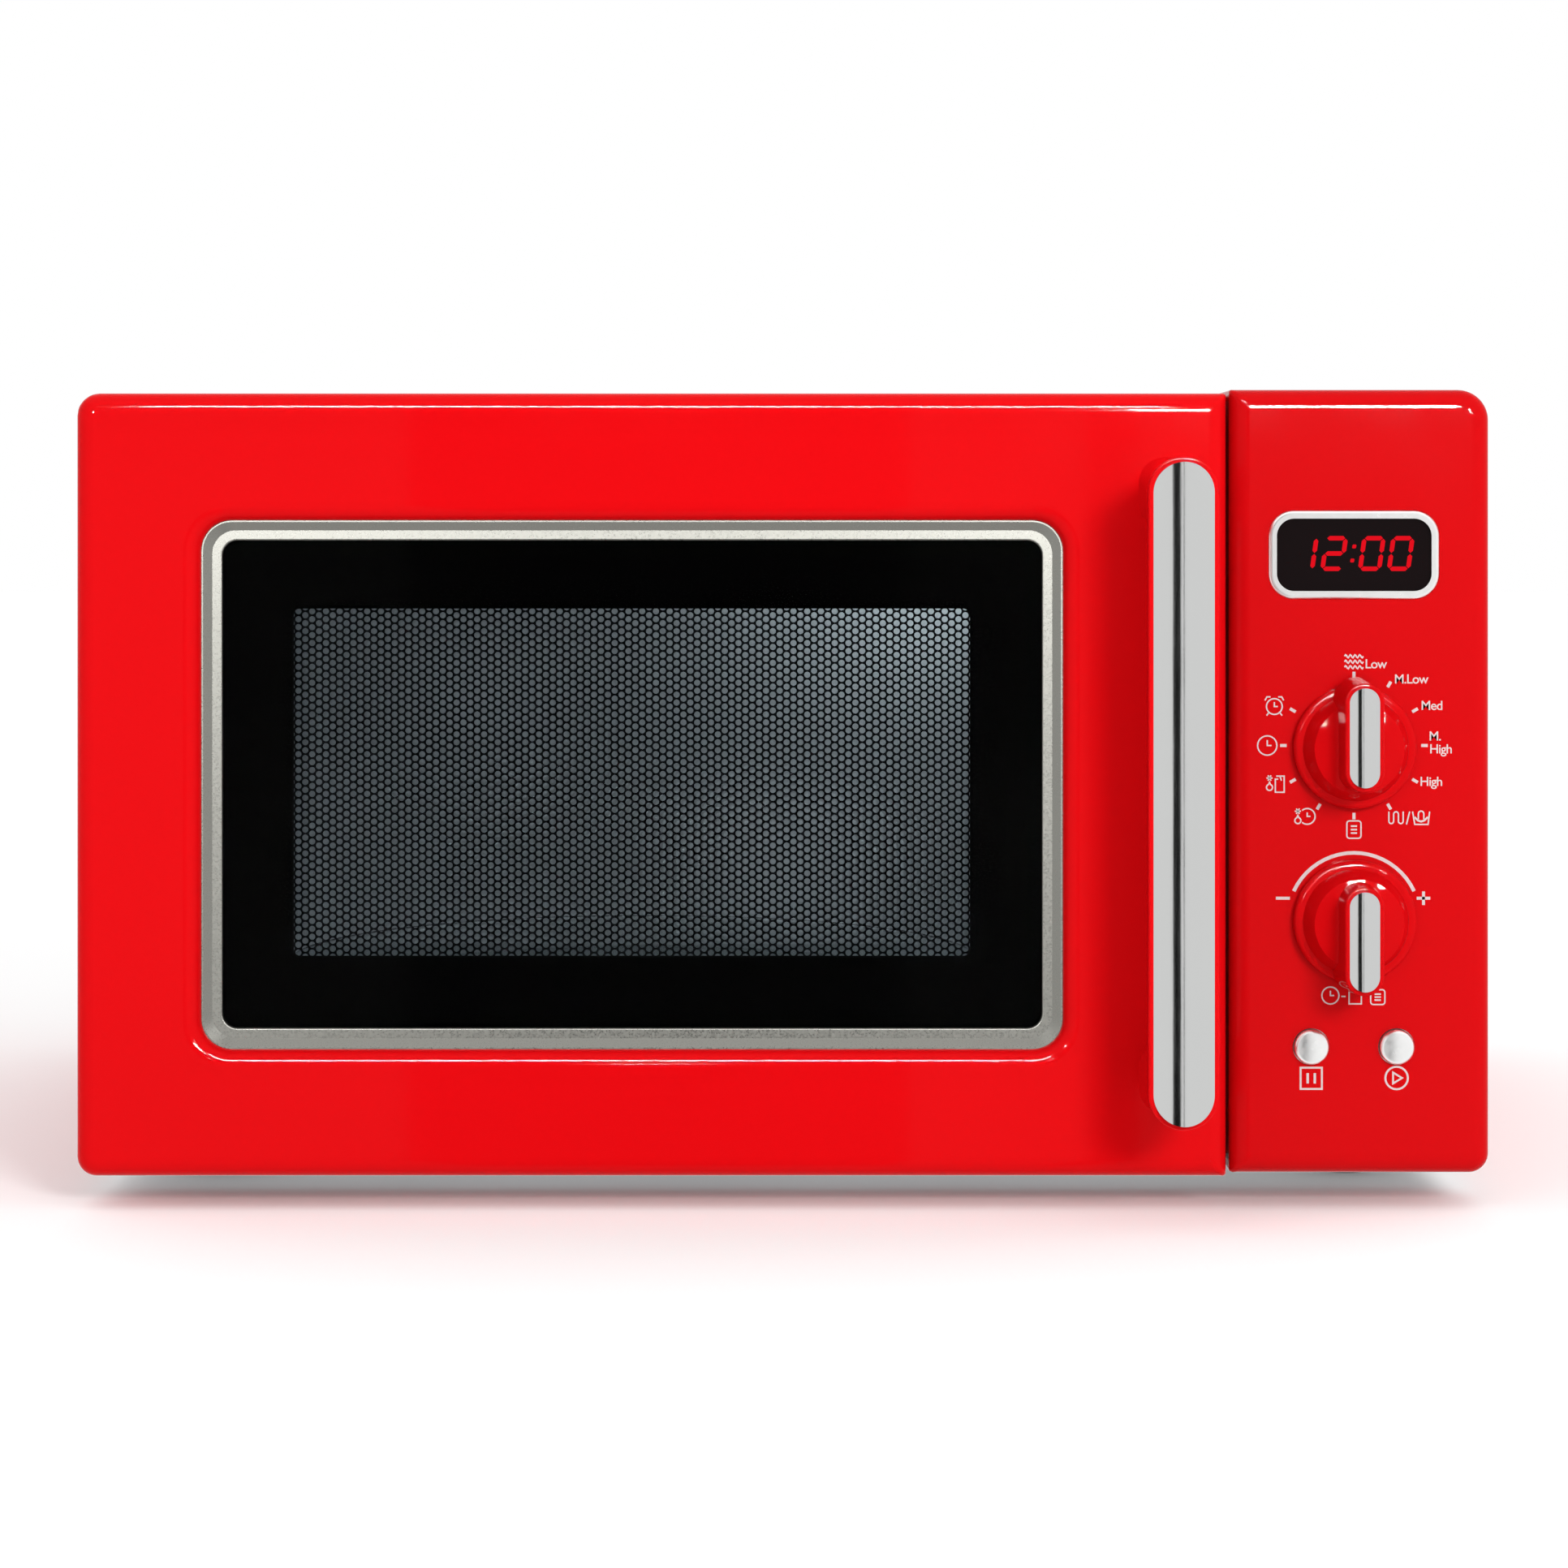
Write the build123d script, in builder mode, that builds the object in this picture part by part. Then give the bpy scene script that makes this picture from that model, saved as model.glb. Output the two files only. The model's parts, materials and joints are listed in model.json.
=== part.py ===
from build123d import *
import math
import os

# Countertop microwave oven in a retro style. Millimetres, +Z up, the front faces -Y.
# The origin is on the floor, under the centre of the whole object.

# ---------------------------------------------------------------- driving dimensions
WIDTH = 440.0          # over the front
FACE_H = 244.0         # height of the door, and of the control panel
FRONT_LIFT = 10.0      # from the floor to the door's lower edge
PANEL_RISE = 1.1       # the control panel stands this much higher than the door
HANDLE_REACH = 37.0    # from the front face to the front of the handle
DOOR_T = 32.0          # depth of the door
SEAL_GAP = 1.2         # between the door's back and the front plate
CABINET_D = 312.0      # front plate to rear panel, over the outside
SPACER_D = 9.0         # the wall spacers' length behind the rear panel
SHEET = 1.0            # sheet steel
WALL = 2.6             # moulded plastic wall

SEAM = 1.0             # gap between door and control panel
DOOR_RIGHT = 138.2
PANEL_LEFT = DOOR_RIGHT + SEAM
EDGE_R = 5.8           # rounding of the front's outer edges
SEAM_R = 0.8           # rounding beside the seam
TOP_LEFT_R = 7.0
TOP_RIGHT_R = 9.5
BOTTOM_R = 6.2

# ---------------------------------------------------------------- derived places
HALF_W = WIDTH / 2
DEPTH = HANDLE_REACH + DOOR_T + SEAL_GAP + CABINET_D + SPACER_D
Y_FRONT = -DEPTH / 2 + HANDLE_REACH
Y_DOOR_BACK = Y_FRONT + DOOR_T
Y_PLATE = Y_DOOR_BACK + SEAL_GAP           # front face of the front plate
Y_INSIDE = Y_PLATE + SHEET                 # back face of the front plate
Y_REAR = Y_PLATE + CABINET_D               # outer face of the rear panel
DOOR_Z0 = FRONT_LIFT
DOOR_Z1 = DOOR_Z0 + FACE_H
PANEL_Z0 = DOOR_Z0 + PANEL_RISE
PANEL_Z1 = PANEL_Z0 + FACE_H

SHELL_X = HALF_W - 3.0
SHELL_Z0 = 12.0
SHELL_Z1 = DOOR_Z1 - 0.4
SHELL_R = 8.0
BASE_Z1 = SHELL_Z0 + SHEET

# the cooking space
CAV_X0, CAV_X1 = -207.0, 99.0
CAV_Z0, CAV_Z1 = 30.0, 236.0
CAV_Y1 = Y_INSIDE + 300.0
CAV_R = 8.0
CAV_CX = (CAV_X0 + CAV_X1) / 2
CAV_CY = (Y_INSIDE + CAV_Y1) / 2

# the window in the door
GLASS_X0, GLASS_X1 = -175.0, 81.0
GLASS_Z0, GLASS_Z1 = 55.8, 208.1
TRIM_W = 6.3
TRIM_R = 9.5
TRIM_Y = 5.0           # the trim's rim, behind the front face
TRIM_SLOPE = 1.6
GLASS_Y = 8.4
GLASS_T = 3.2
VIEW_X0, VIEW_X1 = -153.9, 58.9
VIEW_Z0, VIEW_Z1 = 77.3, 186.7
LIP_R = 4.9            # rounding of the well's mouth

# the door's inner frame
FLANGE_Y = 27.0
SCREEN_Y = 16.0
FRAME_X0, FRAME_X1 = -204.0, 135.0
FRAME_Z0, FRAME_Z1 = 13.2, 250.8
DISH_MARGIN = 12.0
WINDOW_MARGIN = 18.0   # the inner window's, round the clear view
SCREEN_T = 0.6

# hinge
PIVOT_X = -HALF_W + 9.0
PIVOT_Y = Y_DOOR_BACK - 13.0
PIN_R = 3.0
PIN_PLAY = 0.05
TAB_HALF = 4.0
TAB_T = 2.0
TAB_INSET = 7.0        # from the door's end to the hinge tab
LUG_H = 6.0
LUG_GAP = 0.4
REAR_LEFT_R = 9.0      # the door's rear left edge, so that it swings clear

# handle
HANDLE_X = 120.7
HANDLE_Z0, HANDLE_Z1 = 30.9, 233.5
HANDLE_W = 21.4
HANDLE_RIM = 1.5
BAR_T = 9.0
CROWN = 2.5            # how far the bright trim domes out of the bar
LEG = 19.0

# latch
HOOK_X0, HOOK_X1 = 120.0, 123.5
HOOK_Z = (82.0, 182.0)
HOOK_H = 8.0
HOOK_BARB = 4.0
LATCH_TRAVEL = 4.0
LATCH_X0, LATCH_X1 = 118.0, 126.0
LATCH_Z0, LATCH_Z1 = 72.0, 200.0
LATCH_Y, LATCH_T = 20.0, 3.0
LATCH_GUIDES = (104.0, 160.0)
SPRING_Z0 = 50.0

# control panel
PANEL_X = 177.3
DISPLAY_Z = 203.7
DISPLAY_W, DISPLAY_H = 53.1, 27.6
DISPLAY_R = 8.0
BEZEL_W = 2.55
POWER_Z = 144.0
TIMER_Z = 90.1
KNOB_R = 19.0
KNOB_TOP = 12.4
GRIP_TOP = 21.0
GRIP_W, GRIP_L = 11.9, 33.1
GRIP_SHIFT = 4.1       # the grip reaches this much further on its pointing side
GRIP_RIM = 1.35
GRIP_CROWN = 1.2
INLAY_T = 1.5          # depth of the bright strips' seats
KNOB_RIM = 4.0
KNOB_SHOULDER_R = 13.8
KNOB_GAP = 0.6
SHAFT_R = 3.0
SHAFT_TOP = 15.0       # the shaft's end inside the knob, in front of the face
SHAFT_END = 11.0       # its other end, behind the face
BUSHING_R = 4.6
BUTTON_SPREAD = 13.25
BUTTON_Z = 51.0
BUTTON_R = 5.4
BUTTON_TRAVEL = 1.2
BOARD_Y = 14.0
BOARD_T = 1.6

# turntable
PLATE_R = 126.0
ROLLER_R = 6.5
ROLLER_PLAY = 0.2
RING_R = 88.0

AXLE_R = 2.0
ROLLER_TURN = 30.0
SPINDLE_R = 3.5
SPINDLE_HOLE_R = 4.5
COUPLER_Z0 = CAV_Z0 + 2.0
PLATE_Z0 = CAV_Z0 + 2 * ROLLER_R + 2 * ROLLER_PLAY

# machinery bay, to the right of the cooking space
BAY_X0 = CAV_X1 + SHEET
BAY_X1 = SHELL_X - SHEET
WAVEGUIDE_X = 126.0
WAVEGUIDE_Y = (-20.0, 84.0)
MOUTH_Y = (24.0, 74.0)
MAGNETRON_Y = 8.0
MAGNETRON_Z0 = 132.0
MOUTH_Z = (MAGNETRON_Z0 + 14.0, MAGNETRON_Z0 + 72.0)
LAMP_Y, LAMP_Z = 112.0, 208.0
GRILL_ENDS = (-76.0, -32.0)
GRILL_Z = 226.0
GRILL_R = 3.2
FAN_X, FAN_Y, FAN_Z = 158.0, 148.0, 128.0
FAN_R = 46.0
FAN_SHAFT_R = 2.0
BUSH_X, BUSH_Z = 190.0, 34.0
BUSH_R = 8.0
CORD_BORE_R = 3.9

FOOT_R = 13.0
FOOT_STEM_R = 4.0
SCREW_R = 1.6
SCREW_HEAD_R = 3.3
SCREW_HEAD_H = 1.8

BASE = (Align.CENTER, Align.CENTER, Align.MIN)


# ---------------------------------------------------------------- helpers
def facing(depth):
    """A sketch plane this far behind the front face. Its x is X, its y is Z, and it extrudes forwards."""
    return Plane.XZ.offset(-(Y_FRONT + depth))


def depth_of(y):
    """How far a Y position lies behind the front face."""
    return y - Y_FRONT


def rectangle(x0, x1, z0, z1, radius=0.0, mode=Mode.ADD):
    """A rectangle by its limits, inside a sketch."""
    with Locations(((x0 + x1) / 2, (z0 + z1) / 2)):
        if radius:
            RectangleRounded(x1 - x0, z1 - z0, radius, mode=mode)
        else:
            Rectangle(x1 - x0, z1 - z0, mode=mode)


def slab(x0, x1, z0, z1, near, far, radius=0.0, mode=Mode.ADD):
    """A plate parallel to the front face, between two depths behind it."""
    with BuildSketch(facing(far)) as outline:
        rectangle(x0, x1, z0, z1, radius)
    extrude(outline.sketch, amount=far - near, mode=mode)


def block(x0, x1, y0, y1, z0, z1, mode=Mode.ADD):
    """A box by its limits."""
    with Locations(((x0 + x1) / 2, (y0 + y1) / 2, (z0 + z1) / 2)):
        Box(x1 - x0, y1 - y0, z1 - z0, mode=mode)


def rod(x, z, radius, near, far, mode=Mode.ADD):
    """A cylinder along Y, between two depths behind the front face."""
    with Locations((x, Y_FRONT + far, z)):
        Cylinder(radius, far - near, rotation=(90, 0, 0), align=BASE, mode=mode)


def post(x, y, radius, z0, z1, mode=Mode.ADD):
    """A cylinder along Z."""
    with Locations((x, y, z0)):
        Cylinder(radius, z1 - z0, align=BASE, mode=mode)


def cross_rod(y, z, radius, x0, x1, mode=Mode.ADD):
    """A cylinder along X."""
    with Locations((x0, y, z)):
        Cylinder(radius, x1 - x0, rotation=(0, 90, 0), align=BASE, mode=mode)


def arch(half_width, bottom, top, radius):
    """A rectangle with its two top corners round, inside a sketch."""
    rectangle(-half_width, half_width, bottom, top, radius)
    rectangle(-half_width, half_width, bottom, top - radius)


def corner_box(x0, x1, z0, z1, radii):
    """An outline whose corners have their own radii: top left, top right, bottom right, bottom left."""
    tl, tr, br, bl = radii
    with BuildLine() as outline:
        Polyline((x0 + tl, z1), (x1 - tr, z1))
        RadiusArc((x1 - tr, z1), (x1, z1 - tr), tr)
        Polyline((x1, z1 - tr), (x1, z0 + br))
        RadiusArc((x1, z0 + br), (x1 - br, z0), br)
        Polyline((x1 - br, z0), (x0 + bl, z0))
        RadiusArc((x0 + bl, z0), (x0, z0 + bl), bl)
        Polyline((x0, z0 + bl), (x0, z1 - tl))
        RadiusArc((x0, z1 - tl), (x0 + tl, z1), tl)
    make_face(outline.edges())


def write(part, name):
    """Labels a finished piece and writes it as one STEP file."""
    part.label = name
    export_step(part, f"parts/{name}.step")


def screw_along_y(x, z, head_depth, length, towards_front=True):
    """A cross-headed screw. Its head's inner face is at head_depth."""
    sign = -1 if towards_front else 1
    head = head_depth - sign * SCREW_HEAD_H
    rod(x, z, SCREW_HEAD_R, min(head, head_depth), max(head, head_depth))
    tip = head_depth + sign * length
    rod(x, z, SCREW_R, min(tip, head_depth), max(tip, head_depth))
    with Locations((x, Y_FRONT + head, z)):
        Box(3.6, 1.6, 0.8, mode=Mode.SUBTRACT)
        Box(0.8, 1.6, 3.6, mode=Mode.SUBTRACT)


# ---------------------------------------------------------------- cabinet
def rear_screw_places():
    """Centres (x, z) of the screws that hold the wrapper to the rear panel."""
    edge = SHELL_X - 7.0
    top = SHELL_Z1 - 7.0
    return [(-edge, 60.0), (-edge, 200.0), (edge, 60.0), (edge, 200.0), (-90.0, top), (90.0, top)]


def make_cabinet_shell():
    """Painted wrapper: top and both sides in one bent sheet, with a lip behind the rear panel."""
    lip = 13.0
    slot_l, slot_h, slot_pitch, slot_rows = 46.0, 3.0, 7.0, 9
    with BuildPart() as cabinet_shell:
        with BuildSketch(Plane.XZ.offset(-(Y_REAR + SHEET))):
            arch(SHELL_X, SHELL_Z0, SHELL_Z1, SHELL_R)
        extrude(amount=Y_REAR + SHEET - Y_PLATE)
        with BuildSketch(Plane.XZ.offset(-Y_REAR)):
            arch(SHELL_X - SHEET, SHELL_Z0 - SHEET, SHELL_Z1 - SHEET, SHELL_R - SHEET)
        extrude(amount=CABINET_D, mode=Mode.SUBTRACT)
        with BuildSketch(Plane.XZ.offset(-(Y_REAR + SHEET))):
            arch(SHELL_X - lip, SHELL_Z0 - SHEET, SHELL_Z1 - lip, SHELL_R)
        extrude(amount=SHEET, mode=Mode.SUBTRACT)
        for x, z in rear_screw_places():
            rod(x, z, SCREW_R, depth_of(Y_REAR) - 1, depth_of(Y_REAR) + SHEET + 1, mode=Mode.SUBTRACT)
        # air slots: an intake low on the right side, and an exhaust high on the left side
        for side, y, z in ((1, 70.0, 78.0), (1, 128.0, 78.0), (-1, 52.0, 196.0), (-1, 110.0, 196.0)):
            for row in range(slot_rows):
                z_row = z + (row - (slot_rows - 1) / 2) * slot_pitch
                with Locations((side * SHELL_X, y, z_row)):
                    Box(4 * SHEET, slot_l, slot_h, mode=Mode.SUBTRACT)
    write(cabinet_shell.part, "cabinet_shell")


def make_rear_panel():
    """Flat rear sheet with the fan's air intake and the hole for the cord bush."""
    hole_r, pitch, rings = 2.0, 6.5, 5
    with BuildPart() as rear_panel:
        with BuildSketch(Plane.XZ.offset(-Y_REAR)):
            arch(SHELL_X - SHEET - 0.2, BASE_Z1 + 0.2, SHELL_Z1 - SHEET - 0.2, SHELL_R - SHEET)
            with Locations((FAN_X, FAN_Z)):
                for ring in range(1, rings + 1):
                    with PolarLocations(ring * pitch * 1.25, 6 * ring):
                        Circle(hole_r, mode=Mode.SUBTRACT)
            with Locations((BUSH_X, BUSH_Z)):
                Circle(BUSH_R, mode=Mode.SUBTRACT)
            with Locations(*rear_screw_places()):
                Circle(SCREW_R, mode=Mode.SUBTRACT)
        extrude(amount=SHEET)
    write(rear_panel.part, "rear_panel")


def make_base_plate():
    """Bottom sheet with upturned sides, air slots and the feet's holes."""
    rise = 10.0
    inner_x = SHELL_X - SHEET - 0.2
    with BuildPart() as base_plate:
        block(-inner_x, inner_x, Y_PLATE, Y_REAR, SHELL_Z0, BASE_Z1)
        for side in (-1, 1):
            near, far = sorted((side * inner_x, side * (inner_x - SHEET)))
            block(near, far, Y_INSIDE + 5, Y_REAR - 2, BASE_Z1, BASE_Z1 + rise)
        for x, y in foot_places():
            post(x, y, FOOT_STEM_R, SHELL_Z0 - 1, BASE_Z1 + 1, mode=Mode.SUBTRACT)
        with Locations((20.0, 140.0, SHELL_Z0)):
            with GridLocations(9.0, 1.0, 12, 1):
                Box(3.0, 36.0, 6 * SHEET, mode=Mode.SUBTRACT)
    write(base_plate.part, "base_plate")


def foot_places():
    """Centres (x, y) of the four feet."""
    return [(x, y) for x in (-185.0, 185.0) for y in (-84.0, 150.0)]


def make_feet():
    """Four moulded feet, each pushed into the base plate by a split stem."""
    with BuildPart() as feet:
        for x, y in foot_places():
            with Locations((x, y, 0)):
                Cone(FOOT_R - 2.0, FOOT_R, SHELL_Z0, align=BASE)
            post(x, y, FOOT_STEM_R, SHELL_Z0, BASE_Z1 + 3.0)
            post(x, y, FOOT_R - 6.0, -1.0, 1.5, mode=Mode.SUBTRACT)
    write(feet.part, "feet")


def make_front_plate():
    """Stamped plate round the oven's mouth. The hinge tabs and the latch hooks pass through it."""
    with BuildPart() as front_plate:
        with BuildSketch(Plane.XZ.offset(-Y_INSIDE)):
            arch(SHELL_X - SHEET - 0.2, BASE_Z1 + 0.2, SHELL_Z1 - SHEET - 0.2, SHELL_R - SHEET)
            rectangle(CAV_X0, CAV_X1, CAV_Z0, CAV_Z1, CAV_R, mode=Mode.SUBTRACT)
            rectangle(PANEL_LEFT + 8, SHELL_X - 12, 30.0, 240.0, 6.0, mode=Mode.SUBTRACT)
            for z in HOOK_Z:
                rectangle(
                    HOOK_X0 - 2.0, HOOK_X1 + 3.5, z - HOOK_BARB - 0.5, z + HOOK_H + LATCH_TRAVEL + 1.5,
                    mode=Mode.SUBTRACT,
                )
            for z in tab_places():
                rectangle(
                    PIVOT_X - TAB_HALF - 0.3, PIVOT_X + TAB_HALF + 0.3, z - 0.3, z + TAB_T + 0.3,
                    mode=Mode.SUBTRACT,
                )
        extrude(amount=SHEET)
    write(front_plate.part, "front_plate")


def tab_places():
    """Lower faces (z) of the two hinge tabs."""
    return (DOOR_Z0 + TAB_INSET, DOOR_Z1 - TAB_INSET - TAB_T)


def make_hinge_brackets():
    """Two steel brackets welded behind the front plate, each with a tab and an upright pin."""
    flange_x1 = -170.0
    pin_h = 7.0
    low, high = tab_places()
    with BuildPart() as hinge_brackets:
        for z, way in ((low, 1), (high, -1)):
            block(PIVOT_X - TAB_HALF, PIVOT_X + TAB_HALF, PIVOT_Y, Y_INSIDE + TAB_T, z, z + TAB_T)
            post(PIVOT_X, PIVOT_Y, TAB_HALF, z, z + TAB_T)
            block(PIVOT_X, flange_x1, Y_INSIDE, Y_INSIDE + TAB_T, z - 2.5, z + TAB_T + 2.5)
            pin_z = z + TAB_T if way > 0 else z - pin_h
            post(PIVOT_X, PIVOT_Y, PIN_R, pin_z, pin_z + pin_h)
    write(hinge_brackets.part, "hinge_brackets")


def make_oven_cavity():
    """Welded liner of the cooking space, open at the front."""
    with BuildPart() as oven_cavity:
        slab(
            CAV_X0 - SHEET, CAV_X1 + SHEET, CAV_Z0 - SHEET, CAV_Z1 + SHEET,
            depth_of(Y_INSIDE), depth_of(CAV_Y1) + SHEET, CAV_R + SHEET,
        )
        fillet(oven_cavity.faces().sort_by(Axis.Y)[-1].edges(), CAV_R)
        offset(amount=-SHEET, openings=oven_cavity.faces().sort_by(Axis.Y)[0])
        post(CAV_CX, CAV_CY, SPINDLE_HOLE_R, CAV_Z0 - 3, CAV_Z0 + 3, mode=Mode.SUBTRACT)
        # the waveguide's mouth
        block(CAV_X1 - 2, CAV_X1 + 3, *MOUTH_Y, *MOUTH_Z, mode=Mode.SUBTRACT)
        # perforations in front of the lamp, and the air outlet on the other side
        for z in (-1, 0, 1):
            for column in range(-2, 3):
                y = LAMP_Y + column * 6
                cross_rod(y, LAMP_Z + z * 6, 1.5, CAV_X1 - 2, CAV_X1 + 3, mode=Mode.SUBTRACT)
        for z in range(4):
            for column in range(-4, 5):
                cross_rod(80 + column * 6, 205 + z * 6, 1.5, CAV_X0 - 3, CAV_X0 + 2, mode=Mode.SUBTRACT)
        # the grill element's two ends
        for x in GRILL_ENDS:
            rod(x, GRILL_Z, GRILL_R, depth_of(CAV_Y1) - 2, depth_of(CAV_Y1) + 3, mode=Mode.SUBTRACT)
    write(oven_cavity.part, "oven_cavity")


def make_grill_element():
    """Tubular heater under the ceiling: one long loop whose ends leave through the rear wall."""
    turn = 22.0
    xs = (GRILL_ENDS[0], -142.0, 38.0, GRILL_ENDS[1])
    near, far = -62.0, 120.0
    end_y = CAV_Y1 + 6.0
    with BuildPart() as grill_element:
        with BuildLine() as path:
            FilletPolyline(
                (xs[0], end_y, GRILL_Z), (xs[0], far, GRILL_Z), (xs[1], far, GRILL_Z), (xs[1], near, GRILL_Z),
                (xs[2], near, GRILL_Z), (xs[2], far, GRILL_Z), (xs[3], far, GRILL_Z), (xs[3], end_y, GRILL_Z),
                radius=turn,
            )
        with BuildSketch(Plane(origin=(xs[0], end_y, GRILL_Z), z_dir=(0, -1, 0))):
            Circle(GRILL_R)
        sweep()
    write(grill_element.part, "grill_element")


def make_wall_spacers():
    """Two moulded spacers that keep the oven's back clear of a wall."""
    start = depth_of(Y_REAR)
    with BuildPart() as wall_spacers:
        for x in (-150.0, 90.0):
            rod(x, 206.0, 9.0, start, start + SPACER_D)
            rod(x, 206.0, 6.0, start + SPACER_D - 5.0, start + SPACER_D + 1, mode=Mode.SUBTRACT)
    write(wall_spacers.part, "wall_spacers")


def make_case_screws():
    """The screws that hold the wrapper to the rear panel."""
    with BuildPart() as case_screws:
        for x, z in rear_screw_places():
            screw_along_y(x, z, depth_of(Y_REAR) + SHEET, 9.0)
    write(case_screws.part, "case_screws")


def make_cord_bush():
    """Bush in the rear panel that the mains cord would come out of."""
    start = depth_of(Y_REAR)
    with BuildPart() as cord_bush:
        rod(BUSH_X, BUSH_Z, BUSH_R, start - SHEET - 3.0, start + 7.0)
        rod(BUSH_X, BUSH_Z, BUSH_R + 3.0, start, start + 2.5)
        rod(BUSH_X, BUSH_Z, BUSH_R + 2.0, start - SHEET - 3.0, start - SHEET)
        rod(BUSH_X, BUSH_Z, CORD_BORE_R, start - 10, start + 10, mode=Mode.SUBTRACT)
    write(cord_bush.part, "cord_bush")


# ---------------------------------------------------------------- machinery
def make_waveguide():
    """Folded steel duct that leads from the magnetron's antenna to the cavity's side wall."""
    y0, y1 = WAVEGUIDE_Y
    z0, z1 = MAGNETRON_Z0 + 8, MAGNETRON_Z0 + 78
    with BuildPart() as waveguide:
        block(BAY_X0, WAVEGUIDE_X, y0, y1, z0, z1)
        block(
            BAY_X0 - 1, WAVEGUIDE_X - SHEET, y0 + SHEET, y1 - SHEET, z0 + SHEET, z1 - SHEET,
            mode=Mode.SUBTRACT,
        )
        antenna_z = MAGNETRON_Z0 + 43
        cross_rod(MAGNETRON_Y, antenna_z, 12.0, WAVEGUIDE_X - 3, WAVEGUIDE_X + 1, mode=Mode.SUBTRACT)
    write(waveguide.part, "waveguide")


def make_waveguide_cover():
    """Mica sheet inside the cooking space, over the waveguide's mouth."""
    margin, sheet = 7.0, 0.6
    with BuildPart() as waveguide_cover:
        block(
            CAV_X1 - sheet, CAV_X1, MOUTH_Y[0] - margin, MOUTH_Y[1] + margin,
            MOUTH_Z[0] - margin, MOUTH_Z[1] + margin,
        )
    write(waveguide_cover.part, "waveguide_cover")


def make_magnetron():
    """Magnetron: antenna, yoke with cooling fins between two magnets, and the filter box."""
    y, z = MAGNETRON_Y, MAGNETRON_Z0 + 43
    half_y, half_z = 34.0, 40.0
    x0, x1 = WAVEGUIDE_X, WAVEGUIDE_X + 54.0
    with BuildPart() as magnetron:
        block(x0, x0 + 2, y - half_y, y + half_y, z - half_z, z + half_z)
        block(x1 - 2, x1, y - half_y, y + half_y, z - half_z, z + half_z)
        for side in (-1, 1):
            block(x0, x1, y - half_y, y + half_y, z + side * half_z - 1.5, z + side * half_z + 1.5)
        cross_rod(y, z, 9.5, x0 - 18, x0)
        cross_rod(y, z, 28.0, x0 + 2, x0 + 13)
        cross_rod(y, z, 28.0, x1 - 13, x1 - 2)
        cross_rod(y, z, 19.0, x0 + 10, x1 - 10)
        for fin in range(7):
            x = x0 + 16 + fin * 3.6
            block(x, x + 0.8, y - half_y + 1, y + half_y - 1, z - half_z, z + half_z)
        block(x1, x1 + 27, y - 30, y + 30, z - 33, z + 33)
    write(magnetron.part, "magnetron")


def make_transformer():
    """High-voltage transformer on the base plate: laminated core and its windings."""
    x0, x1, y0, y1 = 112.0, 208.0, -64.0, 2.0
    z0, z1 = BASE_Z1, BASE_Z1 + 80.0
    limb, window_h = 16.0, 36.0
    window_z = (z0 + z1) / 2
    with BuildPart() as transformer_core:
        block(x0, x1, y0, y1, z0, z1)
        for side in (-1, 1):
            mid = (x0 + x1) / 2 + side * 24.0
            block(mid - limb / 2, mid + limb / 2, y0 - 1, y1 + 1,
                  window_z - window_h / 2, window_z + window_h / 2,
                  mode=Mode.SUBTRACT)
        block(x0 - 6, x1 + 2, y0 + 8, y1 - 8, z0, z0 + 2)
    write(transformer_core.part, "transformer_core")

    with BuildPart() as transformer_windings:
        for bottom, height, grow in ((window_z - 17.5, 13.0, 9.0), (window_z - 2.5, 20.0, 12.0)):
            middle = (x0 + x1) / 2
            block(middle - 31.5, middle + 31.5, y0 - grow, y1 + grow, bottom, bottom + height)
            block(middle - 16, middle + 16, y0, y1, bottom - 1, bottom + height + 1, mode=Mode.SUBTRACT)
        fillet(transformer_windings.edges().filter_by(Axis.Z).group_by(Axis.Y)[0], 5.0)
        fillet(transformer_windings.edges().filter_by(Axis.Z).group_by(Axis.Y)[-1], 5.0)
    write(transformer_windings.part, "transformer_windings")


def make_capacitor_and_diode():
    """High-voltage capacitor in its oval can, and the diode that bridges it to the chassis."""
    x, y, length, width, height = 158.0, 60.0, 92.0, 34.0, 52.0
    with BuildPart() as hv_capacitor:
        with BuildSketch(Plane.XY.offset(BASE_Z1)):
            with Locations((x, y)):
                SlotOverall(length, width)
        extrude(amount=height)
        fillet(hv_capacitor.faces().sort_by(Axis.Z)[-1].edges(), 1.5)
        for side in (-1, 1):
            post(x + side * 16, y, 5.0, BASE_Z1 + height, BASE_Z1 + height + 6)
            tag_x = x + side * 16
            block(tag_x - 3, tag_x + 3, y - 0.4, y + 0.4, BASE_Z1 + height + 6, BASE_Z1 + height + 14)
    write(hv_capacitor.part, "hv_capacitor")

    with BuildPart() as hv_diode:
        block(x - 8, x + 8, y + 26, y + 34, BASE_Z1 + 8, BASE_Z1 + 15)
        block(x + 8, x + 20, y + 29.6, y + 30.4, BASE_Z1 + 10, BASE_Z1 + 13)
        block(x - 12, x - 8, y + 26, y + 34, BASE_Z1, BASE_Z1 + 15)
    write(hv_diode.part, "hv_diode")


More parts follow.
